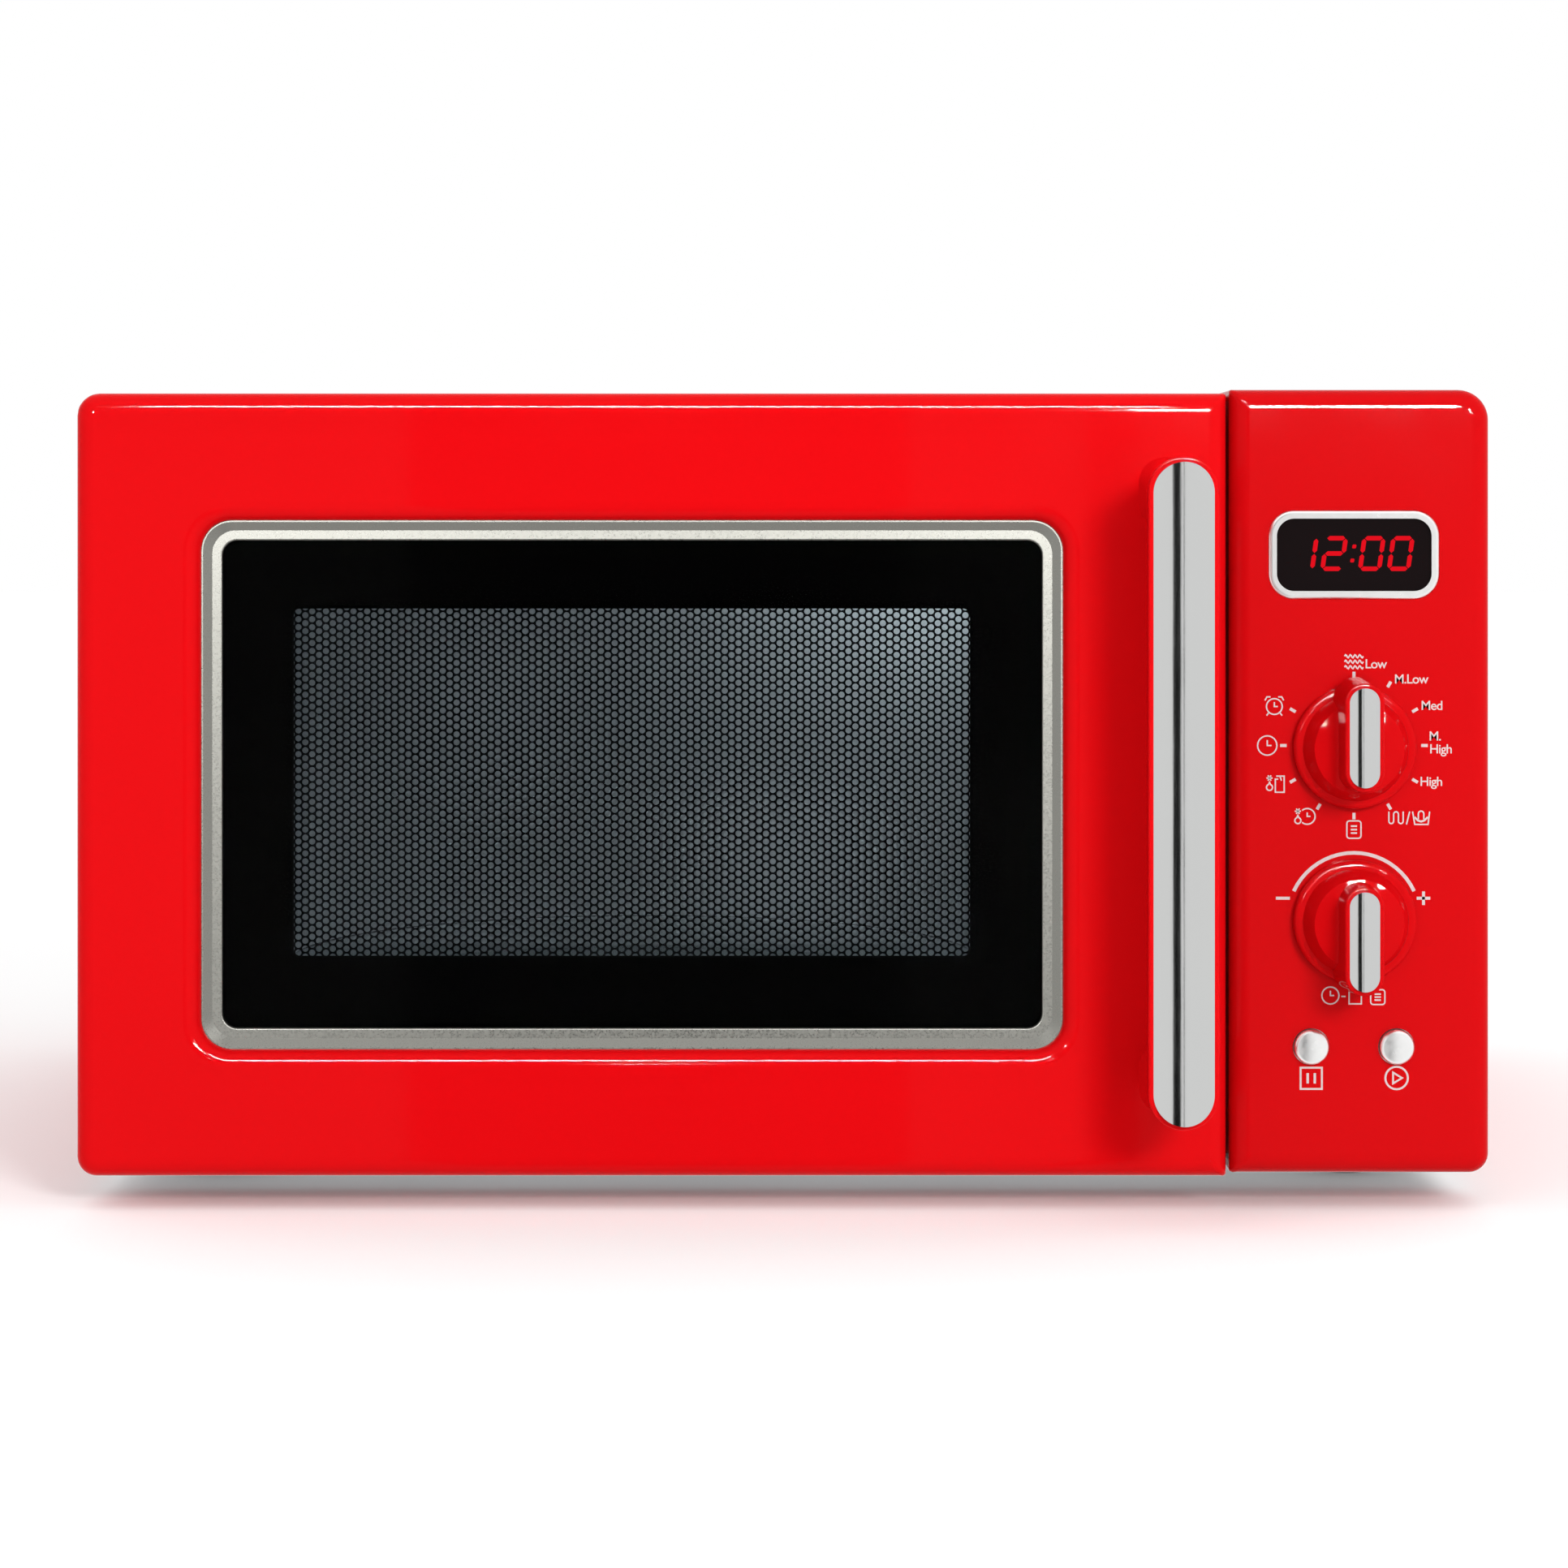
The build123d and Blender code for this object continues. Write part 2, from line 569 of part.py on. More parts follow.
def make_fan():
    """Cooling fan at the rear: duct, shaded-pole motor and five-bladed propeller."""
    duct_y0, duct_y1 = FAN_Y - 14.0, FAN_Y + 14.0
    x0, x1 = BAY_X0 + 2.0, BAY_X1 - 4.0
    with BuildPart() as fan_shroud:
        slab(x0, x1, FAN_Z - FAN_R - 8, FAN_Z + FAN_R + 8, depth_of(duct_y1) - 2, depth_of(duct_y1))
        rod(FAN_X, FAN_Z, FAN_R + 4, depth_of(duct_y0), depth_of(duct_y1) - 2)
        rod(FAN_X, FAN_Z, FAN_R + 2, depth_of(duct_y0) - 1, depth_of(duct_y1) + 1, mode=Mode.SUBTRACT)
        # feet down to the base plate
        for x in (x0 + 2, x1 - 8):
            block(x, x + 6, duct_y1 - 8, duct_y1, BASE_Z1, FAN_Z - FAN_R - 8)
        # three arms carry the motor behind the propeller
        for angle in (90, 210, 330):
            dx, dz = math.cos(math.radians(angle)), math.sin(math.radians(angle))
            with BuildSketch(facing(depth_of(duct_y1))):
                with Locations(Location((FAN_X + dx * 33, FAN_Z + dz * 33), angle)):
                    Rectangle(46, 5)
            extrude(amount=2)
    write(fan_shroud.part, "fan_shroud")

    with BuildPart() as fan_motor:
        slab(FAN_X - 19, FAN_X + 19, FAN_Z - 16, FAN_Z + 24, depth_of(duct_y1), depth_of(duct_y1) + 16)
        rod(FAN_X, FAN_Z, 9.0, depth_of(duct_y1) - 5, depth_of(duct_y1) + 20)
        back = depth_of(duct_y1)
        rod(FAN_X, FAN_Z, FAN_SHAFT_R + PIN_PLAY, back - 6, back + 17, mode=Mode.SUBTRACT)
    write(fan_motor.part, "fan_motor")

    blades, twist, chord, thick = 5, 32.0, 30.0, 1.6
    hub_r = 12.0
    with BuildPart() as fan_blade:
        rod(FAN_X, FAN_Z, hub_r, depth_of(FAN_Y) - 8, depth_of(FAN_Y) + 8)
        rod(FAN_X, FAN_Z, FAN_SHAFT_R, depth_of(FAN_Y) - 8, depth_of(duct_y1) + 15)
        for blade in range(blades):
            turn = Location((FAN_X, FAN_Y, FAN_Z), (0, 360 / blades * blade, 0))
            lean = Location((0, 0, (hub_r + FAN_R) / 2 - 1), (0, 0, twist))
            with Locations(turn * lean):
                Box(chord, thick, FAN_R - hub_r + 1)
    write(fan_blade.part, "fan_blade")


def make_oven_lamp():
    """Lamp in a steel housing outside the cavity wall."""
    half, bulb_r, bulb_end = 22.0, 9.0, BAY_X0 + 28.0
    with BuildPart() as oven_lamp:
        cross_rod(LAMP_Y, LAMP_Z, bulb_r, BAY_X0 + 10, bulb_end)
        fillet(oven_lamp.edges().filter_by(GeomType.CIRCLE), 5.0)
        cross_rod(LAMP_Y, LAMP_Z, 7.0, bulb_end - 2, BAY_X0 + 54)
        block(BAY_X0, BAY_X0 + 1, LAMP_Y - half, LAMP_Y + half, LAMP_Z - half + 4, LAMP_Z + half - 4)
        block(BAY_X0, BAY_X0 + 1, LAMP_Y - 16, LAMP_Y + 16, LAMP_Z - 10, LAMP_Z + 10, mode=Mode.SUBTRACT)
        for z in (LAMP_Z - 16, LAMP_Z + 14):
            block(BAY_X0, BAY_X0 + 40, LAMP_Y - 8, LAMP_Y + 8, z, z + 2)
        block(BAY_X0 + 38, BAY_X0 + 40, LAMP_Y - 8, LAMP_Y + 8, LAMP_Z - 16, LAMP_Z + 16)
    write(oven_lamp.part, "oven_lamp")


def make_thermal_cutout():
    """Thermal cutout on the outside of the cavity wall."""
    y, z = 40.0, 222.0
    with BuildPart() as thermal_cutout:
        block(BAY_X0, BAY_X0 + 1, y - 12, y + 12, z - 6, z + 6)
        cross_rod(y, z, 7.0, BAY_X0 + 1, BAY_X0 + 9)
        for side in (-1, 1):
            block(BAY_X0 + 9, BAY_X0 + 17, y + side * 4 - 0.4, y + side * 4 + 0.4, z - 3, z + 3)
    write(thermal_cutout.part, "thermal_cutout")


def make_filter_board():
    """Mains filter on a small board, held off the rear panel by two posts."""
    x0, x1, z0, z1 = 112.0, 200.0, 208.0, 246.0
    back = depth_of(Y_REAR) - SHEET
    with BuildPart() as filter_board:
        slab(x0, x1, z0, z1, back - 8.0, back - 8.0 + BOARD_T)
        for x in (x0 + 6, x1 - 6):
            rod(x, z1 - 6, 3.0, back - 8.0 + BOARD_T, back)
        rod(x0 + 26, (z0 + z1) / 2, 12.0, back - 20.0, back - 8.0)
        slab(x0 + 46, x0 + 64, z0 + 8, z1 - 10, back - 22.0, back - 8.0)
        slab(x0 + 68, x0 + 78, z0 + 8, z1 - 12, back - 16.0, back - 8.0)
    write(filter_board.part, "filter_board")


def make_interlock():
    """Moulded bracket behind the front plate with two catches, and the three door switches."""
    wall_x0, wall_x1, rim = 107.0, 110.0, 132.0
    y0, y1 = Y_INSIDE, Y_INSIDE + 44.0
    z0, z1 = 58.0, 214.0
    with BuildPart() as interlock_bracket:
        block(wall_x0, wall_x1, y0, y1, z0, z1)
        for z in (z0, (z0 + z1) / 2 - 1.5, z1 - 3.0):
            block(wall_x0, rim, y0, y1, z, z + 3.0)
        for z in HOOK_Z:
            top = z - HOOK_BARB - 0.8
            block(wall_x1, HOOK_X1 + 2.5, y0 + 4.0, y0 + 10.0, top - 4.0, top)
    write(interlock_bracket.part, "interlock_bracket")

    with BuildPart() as interlock_switches:
        for z, y in ((76.0, y0 + 24.0), (156.0, y0 + 12.0), (178.0, y0 + 24.0)):
            block(wall_x1, wall_x1 + 11.0, y, y + 16.0, z, z + 20.0)
            block(wall_x1 + 4.0, wall_x1 + 7.0, y - 1.5, y, z + 8.0, z + 11.0)
            for pin in (2.0, 9.0, 16.0):
                block(wall_x1 + 4.5, wall_x1 + 5.3, y + 16.0, y + 20.0, z + pin, z + pin + 2.0)
    write(interlock_switches.part, "interlock_switches")


def make_turntable_motor():
    """Flat synchronous motor under the cavity."""
    top = CAV_Z0 - SHEET
    with BuildPart() as turntable_motor:
        post(CAV_CX, CAV_CY, 25.0, BASE_Z1 + 1.0, top - 1.0)
        block(CAV_CX - 33, CAV_CX + 33, CAV_CY - 6, CAV_CY + 6, top - 1.0, top)
        post(CAV_CX, CAV_CY, SPINDLE_R + PIN_PLAY, top - 12.0, top + 1, mode=Mode.SUBTRACT)
    write(turntable_motor.part, "turntable_motor")


# ---------------------------------------------------------------- control panel
def make_control_panel():
    """Moulded front of the machinery bay, open at the back."""
    x0, x1, z0, z1 = PANEL_LEFT, HALF_W, PANEL_Z0, PANEL_Z1
    back = depth_of(Y_PLATE)
    inner = SEAM_R
    with BuildPart() as control_panel:
        with BuildSketch(facing(back)):
            corner_box(x0, x1, z0, z1, (inner, TOP_RIGHT_R, BOTTOM_R, inner))
        extrude(amount=back)
        soften_front(control_panel, x0)
        with BuildSketch(facing(back)):
            rectangle(x0 + WALL, x1 - WALL, z0 + WALL, z1 - WALL, 4.0)
        extrude(amount=back - WALL, mode=Mode.SUBTRACT)
        # the display's window
        slab(*display_limits(0.0), -1.0, WALL + 1.0, DISPLAY_R, mode=Mode.SUBTRACT)
        for z in (POWER_Z, TIMER_Z):
            rod(PANEL_X, z, BUSHING_R + 0.2, -1.0, WALL + 1.0, mode=Mode.SUBTRACT)
        for x in button_places():
            rod(x, BUTTON_Z, BUTTON_R + 0.3, -1.0, WALL + 1.0, mode=Mode.SUBTRACT)
        # posts that carry the board, and bosses that meet the front plate
        for x, z in board_posts():
            rod(x, z, 3.0, WALL, BOARD_Y)
        for x, z in ((x0 + 6, 20.0), (x1 - 8, 22.0), (x0 + 6, 246.0), (x1 - 8, 244.0)):
            rod(x, z, 3.5, WALL, back)
    write(control_panel.part, "control_panel")


def soften_front(piece, seam_x):
    """Rounds a front moulding's outer front edges, and more tightly the ones beside the seam."""
    front = piece.faces().sort_by(Axis.Y)[0]
    outer = [edge for edge in front.edges() if abs(edge.center().X - seam_x) > 3 * SEAM_R]
    fillet(outer, EDGE_R)
    seam_edges = piece.edges().filter_by(Axis.Z).filter_by_position(Axis.Y, Y_FRONT - 0.01, Y_FRONT + 0.01)
    near_seam = [edge for edge in seam_edges if abs(edge.center().X - seam_x) < 2 * SEAM_R]
    if near_seam:
        fillet(near_seam, SEAM_R)


def display_limits(grow):
    """The display's outline, grown by a margin: x0, x1, z0, z1."""
    half_w, half_h = DISPLAY_W / 2 + grow, DISPLAY_H / 2 + grow
    return (PANEL_X - half_w, PANEL_X + half_w, DISPLAY_Z - half_h, DISPLAY_Z + half_h)


def button_places():
    """Centres (x) of the stop and start buttons."""
    return (PANEL_X - BUTTON_SPREAD, PANEL_X + BUTTON_SPREAD)


def board_posts():
    """Centres (x, z) of the posts that carry the control board."""
    return [(x, z) for x in (PANEL_X - 31, PANEL_X + 31) for z in (36.0, 117.0, 182.0)]


def make_display():
    """Bright bezel, smoked lens and the module with the digits."""
    with BuildPart() as display_bezel:
        slab(*display_limits(0.0), -0.8, WALL, DISPLAY_R)
        slab(*display_limits(1.5), WALL, WALL + 1.2, DISPLAY_R + 1.5)
        fillet(display_bezel.faces().sort_by(Axis.Y)[0].edges(), 1.2)
        slab(*display_limits(-BEZEL_W), -2.0, WALL + 3.0, DISPLAY_R - BEZEL_W, mode=Mode.SUBTRACT)
    write(display_bezel.part, "display_bezel")

    with BuildPart() as display_lens:
        slab(*display_limits(-BEZEL_W), 0.6, WALL + 1.2, DISPLAY_R - BEZEL_W)
    write(display_lens.part, "display_lens")

    with BuildPart() as display_module:
        slab(*display_limits(-4.0), WALL + 1.4, WALL + 6.4)
        for x in (PANEL_X - 18, PANEL_X, PANEL_X + 18):
            slab(x - 3, x + 3, DISPLAY_Z - 8, DISPLAY_Z - 4, WALL + 6.4, BOARD_Y)
    write(display_module.part, "display_module")


def make_control_board():
    """Printed circuit board with the two tact switches and the power parts on its back."""
    stem_top = BOARD_Y - 7.0
    with BuildPart() as control_board:
        slab(PANEL_X - 35, PANEL_X + 35, 32.0, 220.0, BOARD_Y, BOARD_Y + BOARD_T)
        for x in button_places():
            slab(x - 3, x + 3, BUTTON_Z - 3, BUTTON_Z + 3, BOARD_Y - 4, BOARD_Y)
            rod(x, BUTTON_Z, 1.7, stem_top, BOARD_Y - 4)
        back = BOARD_Y + BOARD_T
        slab(PANEL_X - 24, PANEL_X + 4, 150.0, 184.0, back, back + 14)
        for z in (60.0, 82.0, 104.0):
            slab(PANEL_X + 8, PANEL_X + 24, z, z + 16, back, back + 12)
        rod(PANEL_X - 16, 120.0, 6.0, back, back + 15)
    write(control_board.part, "control_board")


def make_encoder(name, z):
    """A rotary encoder on the board, whose bushing carries the knob's shaft."""
    with BuildPart() as encoder:
        slab(PANEL_X - 7, PANEL_X + 7, z - 7, z + 7, BOARD_Y - 6.5, BOARD_Y)
        rod(PANEL_X, z, BUSHING_R, 0.4, BOARD_Y - 6.5)
        rod(PANEL_X, z, SHAFT_R + PIN_PLAY, -1.0, SHAFT_END + 0.4, mode=Mode.SUBTRACT)
    write(encoder.part, name)


def domed_strip(x, z, length, width, height, crown):
    """Upright strip with round ends, let in INLAY_T deep. Its front bulges by crown, from edge to edge."""
    dome_r = ((width / 2) ** 2 + crown**2) / (2 * crown)
    with BuildSketch(facing(-(height - INLAY_T))) as outline:
        with Locations((x, z)):
            SlotOverall(length, width, rotation=90)
    extrude(outline.sketch, amount=INLAY_T + crown)
    with BuildSketch(Plane.XY.offset(z - length / 2 - 1)) as section:
        with Locations((x, Y_FRONT - height - crown + dome_r)):
            Circle(dome_r)
    extrude(section.sketch, amount=length + 2, mode=Mode.INTERSECT)


def make_knob(name, z, pointing):
    """A round knob with a raised grip bar that reaches towards its pointing side."""
    grip_z = z + pointing * GRIP_SHIFT
    with BuildPart() as knob:
        with BuildSketch(Plane(origin=(PANEL_X, Y_FRONT, z), x_dir=(1, 0, 0), z_dir=(0, 0, 1))):
            with BuildLine():
                Polyline((0, -KNOB_GAP), (KNOB_R, -KNOB_GAP), (KNOB_R, -KNOB_RIM + 1.6))
                RadiusArc((KNOB_R, -KNOB_RIM + 1.6), (KNOB_R - 1.6, -KNOB_RIM), 1.6)
                Line((KNOB_R - 1.6, -KNOB_RIM), (KNOB_R - 2.6, -KNOB_RIM))
                RadiusArc((KNOB_R - 2.6, -KNOB_RIM), (KNOB_SHOULDER_R, -KNOB_TOP + 1.4), 26.0)
                RadiusArc((KNOB_SHOULDER_R, -KNOB_TOP + 1.4), (0, -KNOB_TOP), 70.0)
                Line((0, -KNOB_TOP), (0, -KNOB_GAP))
            make_face()
        revolve(axis=Axis((PANEL_X, Y_FRONT, z), (0, 1, 0)))
        with BuildSketch(facing(-KNOB_RIM)):
            with Locations((PANEL_X, grip_z)):
                SlotOverall(GRIP_L + 2.4, GRIP_W + 2.4, rotation=90)
        extrude(amount=GRIP_TOP - KNOB_RIM, taper=4.0)
        fillet(knob.faces().sort_by(Axis.Y)[0].edges(), 0.7)
        with BuildSketch(facing(-(GRIP_TOP - INLAY_T))):
            with Locations((PANEL_X, grip_z)):
                SlotOverall(GRIP_L - 2 * GRIP_RIM, GRIP_W - 2 * GRIP_RIM, rotation=90)
        extrude(amount=INLAY_T + 1, mode=Mode.SUBTRACT)
        rod(PANEL_X, z, SHAFT_R, -SHAFT_TOP, 1.0, mode=Mode.SUBTRACT)
    write(knob.part, name)

    with BuildPart() as knob_trim:
        domed_strip(PANEL_X, grip_z, GRIP_L - 2 * GRIP_RIM, GRIP_W - 2 * GRIP_RIM, GRIP_TOP, GRIP_CROWN)
    write(knob_trim.part, f"{name}_trim")


def make_shaft(name, z):
    """The knob's steel shaft."""
    with BuildPart() as shaft:
        rod(PANEL_X, z, SHAFT_R, -SHAFT_TOP, SHAFT_END)
        chamfer(shaft.faces().sort_by(Axis.Y)[-1].edges(), 0.5)
    write(shaft.part, name)


def make_button(name, x):
    """A domed push button: cap, retaining flange and the stem that meets its switch."""
    dome_r, top, shoulder = 16.0, 2.9, 1.1
    stem_end = BOARD_Y - 7.0 - BUTTON_TRAVEL - 0.2
    crown_r = BUTTON_R - shoulder
    crown = -top + dome_r - math.sqrt(dome_r**2 - crown_r**2)
    with BuildPart() as button:
        with BuildSketch(Plane(origin=(x, Y_FRONT, BUTTON_Z), x_dir=(1, 0, 0), z_dir=(0, 0, 1))):
            with BuildLine():
                Polyline(
                    (0, -top), (0, stem_end), (2.0, stem_end), (2.0, WALL + 1.4),
                    (BUTTON_R + 1.1, WALL + 1.4),
                    (BUTTON_R + 1.1, WALL + 0.2), (BUTTON_R, WALL + 0.2), (BUTTON_R, crown + shoulder),
                )
                RadiusArc((BUTTON_R, crown + shoulder), (crown_r, crown), 1.5)
                RadiusArc((crown_r, crown), (0, -top), dome_r)
            make_face()
        revolve(axis=Axis((x, Y_FRONT, BUTTON_Z), (0, 1, 0)))
    write(button.part, name)


# ---------------------------------------------------------------- door
def make_door_fascia():
    """Moulded outer shell of the door, open at the back, with the window's well and the hinge lugs."""
    x0, x1, z0, z1 = trim_limits(0.0)
    with BuildPart() as door_fascia:
        with BuildSketch(facing(DOOR_T)):
            corner_box(-HALF_W, DOOR_RIGHT, DOOR_Z0, DOOR_Z1, (TOP_LEFT_R, SEAM_R, SEAM_R, BOTTOM_R))
        extrude(amount=DOOR_T)
        soften_front(door_fascia, DOOR_RIGHT)
        rear = door_fascia.edges().filter_by(Axis.Z).group_by(Axis.Y)[-1]
        fillet(rear.sort_by(Axis.X)[0], REAR_LEFT_R)
        with BuildSketch(Plane.XY.offset(DOOR_Z0 + WALL)):
            door_section(WALL)
        extrude(amount=FACE_H - 2 * WALL, mode=Mode.SUBTRACT)
        # the well that holds the trim and the glass, with a rounded lip at the front
        slab(x0 - WALL, x1 + WALL, z0 - WALL, z1 + WALL, 0.5, GLASS_Y + GLASS_T, TRIM_R + WALL)
        slab(x0, x1, z0, z1, -1.0, DOOR_T, TRIM_R, mode=Mode.SUBTRACT)
        mouth = door_fascia.faces().filter_by(Axis.Y).sort_by(Axis.Y)[0].inner_wires()[0]
        fillet(mouth.edges(), LIP_R)
        # bosses for the inner frame, posts behind the handle's legs, and the latch bar's guides
        for x, z in frame_screw_places():
            rod(x, z, 3.4, WALL - 0.5, FLANGE_Y)
            rod(x, z, SCREW_R, FLANGE_Y - 9.0, FLANGE_Y + 1, mode=Mode.SUBTRACT)
        for z in handle_screw_places():
            rod(HANDLE_X, z, 5.0, WALL - 0.5, WALL + 4.0)
            rod(HANDLE_X, z, SCREW_R, -1.0, WALL + 5.0, mode=Mode.SUBTRACT)
        for z in LATCH_GUIDES:
            slab(LATCH_X0 - 4.0, LATCH_X1 + 4.0, z, z + 10.0, WALL - 0.5, LATCH_Y + LATCH_T)
            slab(
                LATCH_X0 - 0.4, LATCH_X1 + 0.4, z - 1, z + 11.0, LATCH_Y - 0.3, LATCH_Y + LATCH_T + 1,
                mode=Mode.SUBTRACT,
            )
        slab(LATCH_X0, LATCH_X1, SPRING_Z0 - 3.0, SPRING_Z0, WALL - 0.5, LATCH_Y + LATCH_T)
        # hinge lugs, joined to the front and left walls
        low, high = tab_places()
        for z in (low + TAB_T + LUG_GAP, high - LUG_GAP - LUG_H):
            block(-HALF_W + WALL - 0.5, FRAME_X0 - 1.2, Y_FRONT + WALL - 0.5, PIVOT_Y, z, z + LUG_H)
            post(PIVOT_X, PIVOT_Y, 6.2, z, z + LUG_H)
            post(PIVOT_X, PIVOT_Y, PIN_R + PIN_PLAY, z - 1, z + LUG_H + 1, mode=Mode.SUBTRACT)
        # notches that let the left wall swing past the hinge tabs
        for z in (low, high):
            block(-HALF_W - 1, FRAME_X0 - 1.2, Y_FRONT + 11.0, Y_DOOR_BACK + 1, z - 0.4, z + TAB_T + 0.4,
                  mode=Mode.SUBTRACT)
    write(door_fascia.part, "door_fascia")


def door_section(inset):
    """The door's hollow in plan, inset from its outline and open at the back."""
    x0, x1 = -HALF_W + inset, DOOR_RIGHT - inset
    front, back = Y_FRONT + inset, Y_DOOR_BACK + 1.0
    radius = REAR_LEFT_R - inset
    turn_y = Y_DOOR_BACK - inset - radius
    with BuildLine() as outline:
        Polyline((x0 + radius, back), (x1, back), (x1, front), (x0, front), (x0, turn_y))
        RadiusArc((x0, turn_y), (x0 + radius, turn_y + radius), radius)
        Line((x0 + radius, turn_y + radius), (x0 + radius, back))
    make_face(outline.edges())


def trim_limits(grow):
    """The window trim's outline, grown by a margin: x0, x1, z0, z1."""
    margin = TRIM_W + grow
    return (GLASS_X0 - margin, GLASS_X1 + margin, GLASS_Z0 - margin, GLASS_Z1 + margin)


def view_limits(grow):
    """The clear view through the screen, grown by a margin: x0, x1, z0, z1."""
    return (VIEW_X0 - grow, VIEW_X1 + grow, VIEW_Z0 - grow, VIEW_Z1 + grow)


def frame_screw_places():
    """Centres (x, z) of the screws that hold the inner frame to the fascia."""
    return [(x, z) for x in (-188.0, -60.0, 98.0) for z in (22.5, 241.5)]


def handle_screw_places():
    """Heights (z) of the two screws that hold the handle."""
    return (HANDLE_Z0 + LEG / 2 + 2, HANDLE_Z1 - LEG / 2 - 2)


def make_window_trim():
    """Satin frame set into the door round the glass: its inner half is flat, its outer half slopes in."""
    half = TRIM_W / 2
    low = TRIM_Y + TRIM_SLOPE
    with BuildPart() as window_trim:
        slab(*trim_limits(-0.05), TRIM_Y, GLASS_Y, TRIM_R)
        with BuildSketch(facing(low)):
            rectangle(*trim_limits(-half), TRIM_R - half + 1)
        with BuildSketch(facing(TRIM_Y - 0.01)):
            rectangle(*trim_limits(-0.5), TRIM_R - 0.5)
        loft(mode=Mode.SUBTRACT)
        corner = TRIM_R - TRIM_W + 1.5
        slab(GLASS_X0, GLASS_X1, GLASS_Z0, GLASS_Z1, 0.0, GLASS_Y + 1, corner, mode=Mode.SUBTRACT)
        inner = window_trim.faces().filter_by(Axis.Y).group_by(Axis.Y)[1]
        fillet(inner.faces()[0].inner_wires()[0].edges(), 0.5)
    write(window_trim.part, "window_trim")


def make_door_glass():
    """Flat outer glass, held in the well behind the trim."""
    with BuildPart() as door_glass:
        slab(*trim_limits(-0.3), GLASS_Y, GLASS_Y + GLASS_T, TRIM_R)
    write(door_glass.part, "door_glass")


def make_door_screen():
    """The sheet-steel screen behind the glass."""
    with BuildPart() as door_screen:
        slab(*view_limits(9.0), SCREEN_Y, SCREEN_Y + SCREEN_T)
    write(door_screen.part, "door_screen")


def make_choke_frame():
    """Stamped inner frame of the door: a flange round a dish whose floor carries the screen."""
    floor_y = SCREEN_Y + SCREEN_T
    with BuildPart() as choke_frame:
        slab(FRAME_X0, FRAME_X1, FRAME_Z0, FRAME_Z1, FLANGE_Y, FLANGE_Y + SHEET, 3.0)
        slab(*view_limits(DISH_MARGIN + SHEET), floor_y, FLANGE_Y, 4.0)
        slab(*view_limits(DISH_MARGIN), floor_y + SHEET, FLANGE_Y + SHEET + 1, 3.0, mode=Mode.SUBTRACT)
        slab(*view_limits(1.0), floor_y - 1, FLANGE_Y + SHEET, mode=Mode.SUBTRACT)
        for x, z in frame_screw_places():
            rod(x, z, SCREW_R, FLANGE_Y - 1, FLANGE_Y + 3, mode=Mode.SUBTRACT)
        cut_hook_slots()
    write(choke_frame.part, "choke_frame")


def cut_hook_slots():
    """Slots in the door's inner layers that the latch hooks stand in and travel along."""
    for z in HOOK_Z:
        slab(HOOK_X0 - 1.0, HOOK_X1 + 1.0, z - HOOK_BARB - 0.5, z + HOOK_H + LATCH_TRAVEL + 0.6,
             FLANGE_Y - 2, DOOR_T + 1, mode=Mode.SUBTRACT)


def make_choke_cover():
    """Dark moulded cover over the inner frame. Its inner edge holds the inner window."""
    skin = 1.8
    rim = FLANGE_Y + SHEET
    with BuildPart() as choke_cover:
        slab(FRAME_X0 + 1, FRAME_X1 - 0.2, FRAME_Z0 + 0.2, FRAME_Z1 - 0.2, rim, DOOR_T, 3.0)
        slab(FRAME_X0 + 3, FRAME_X1 - 2.2, FRAME_Z0 + 2.2, FRAME_Z1 - 2.2, rim - 1, DOOR_T - skin, 2.0,
             mode=Mode.SUBTRACT)
        slab(*view_limits(WINDOW_MARGIN + 2), rim, DOOR_T - skin, 4.0)
        slab(*view_limits(WINDOW_MARGIN + 0.2), rim - 1, DOOR_T - skin, 3.0, mode=Mode.SUBTRACT)
        slab(*view_limits(DISH_MARGIN - 1.0), rim - 1, DOOR_T + 1, 4.0, mode=Mode.SUBTRACT)
        cut_hook_slots()
        back = choke_cover.faces().sort_by(Axis.Y)[-1]
        fillet(back.outer_wire().edges(), 1.0)
    write(choke_cover.part, "choke_cover")


def make_inner_window():
    """Clear sheet that closes the door's dish on the oven's side."""
    with BuildPart() as inner_window:
        slab(*view_limits(WINDOW_MARGIN), FLANGE_Y + SHEET, FLANGE_Y + SHEET + 1.6, 3.0)
    write(inner_window.part, "inner_window")


def make_door_screws():
    """The door's screws: six through the inner frame, and two from inside into the handle's legs."""
    with BuildPart() as door_screws:
        for x, z in frame_screw_places():
            screw_along_y(x, z, FLANGE_Y + SHEET, 9.5)
        for z in handle_screw_places():
            screw_along_y(HANDLE_X, z, WALL + 4.0, 22.0)
    write(door_screws.part, "door_screws")


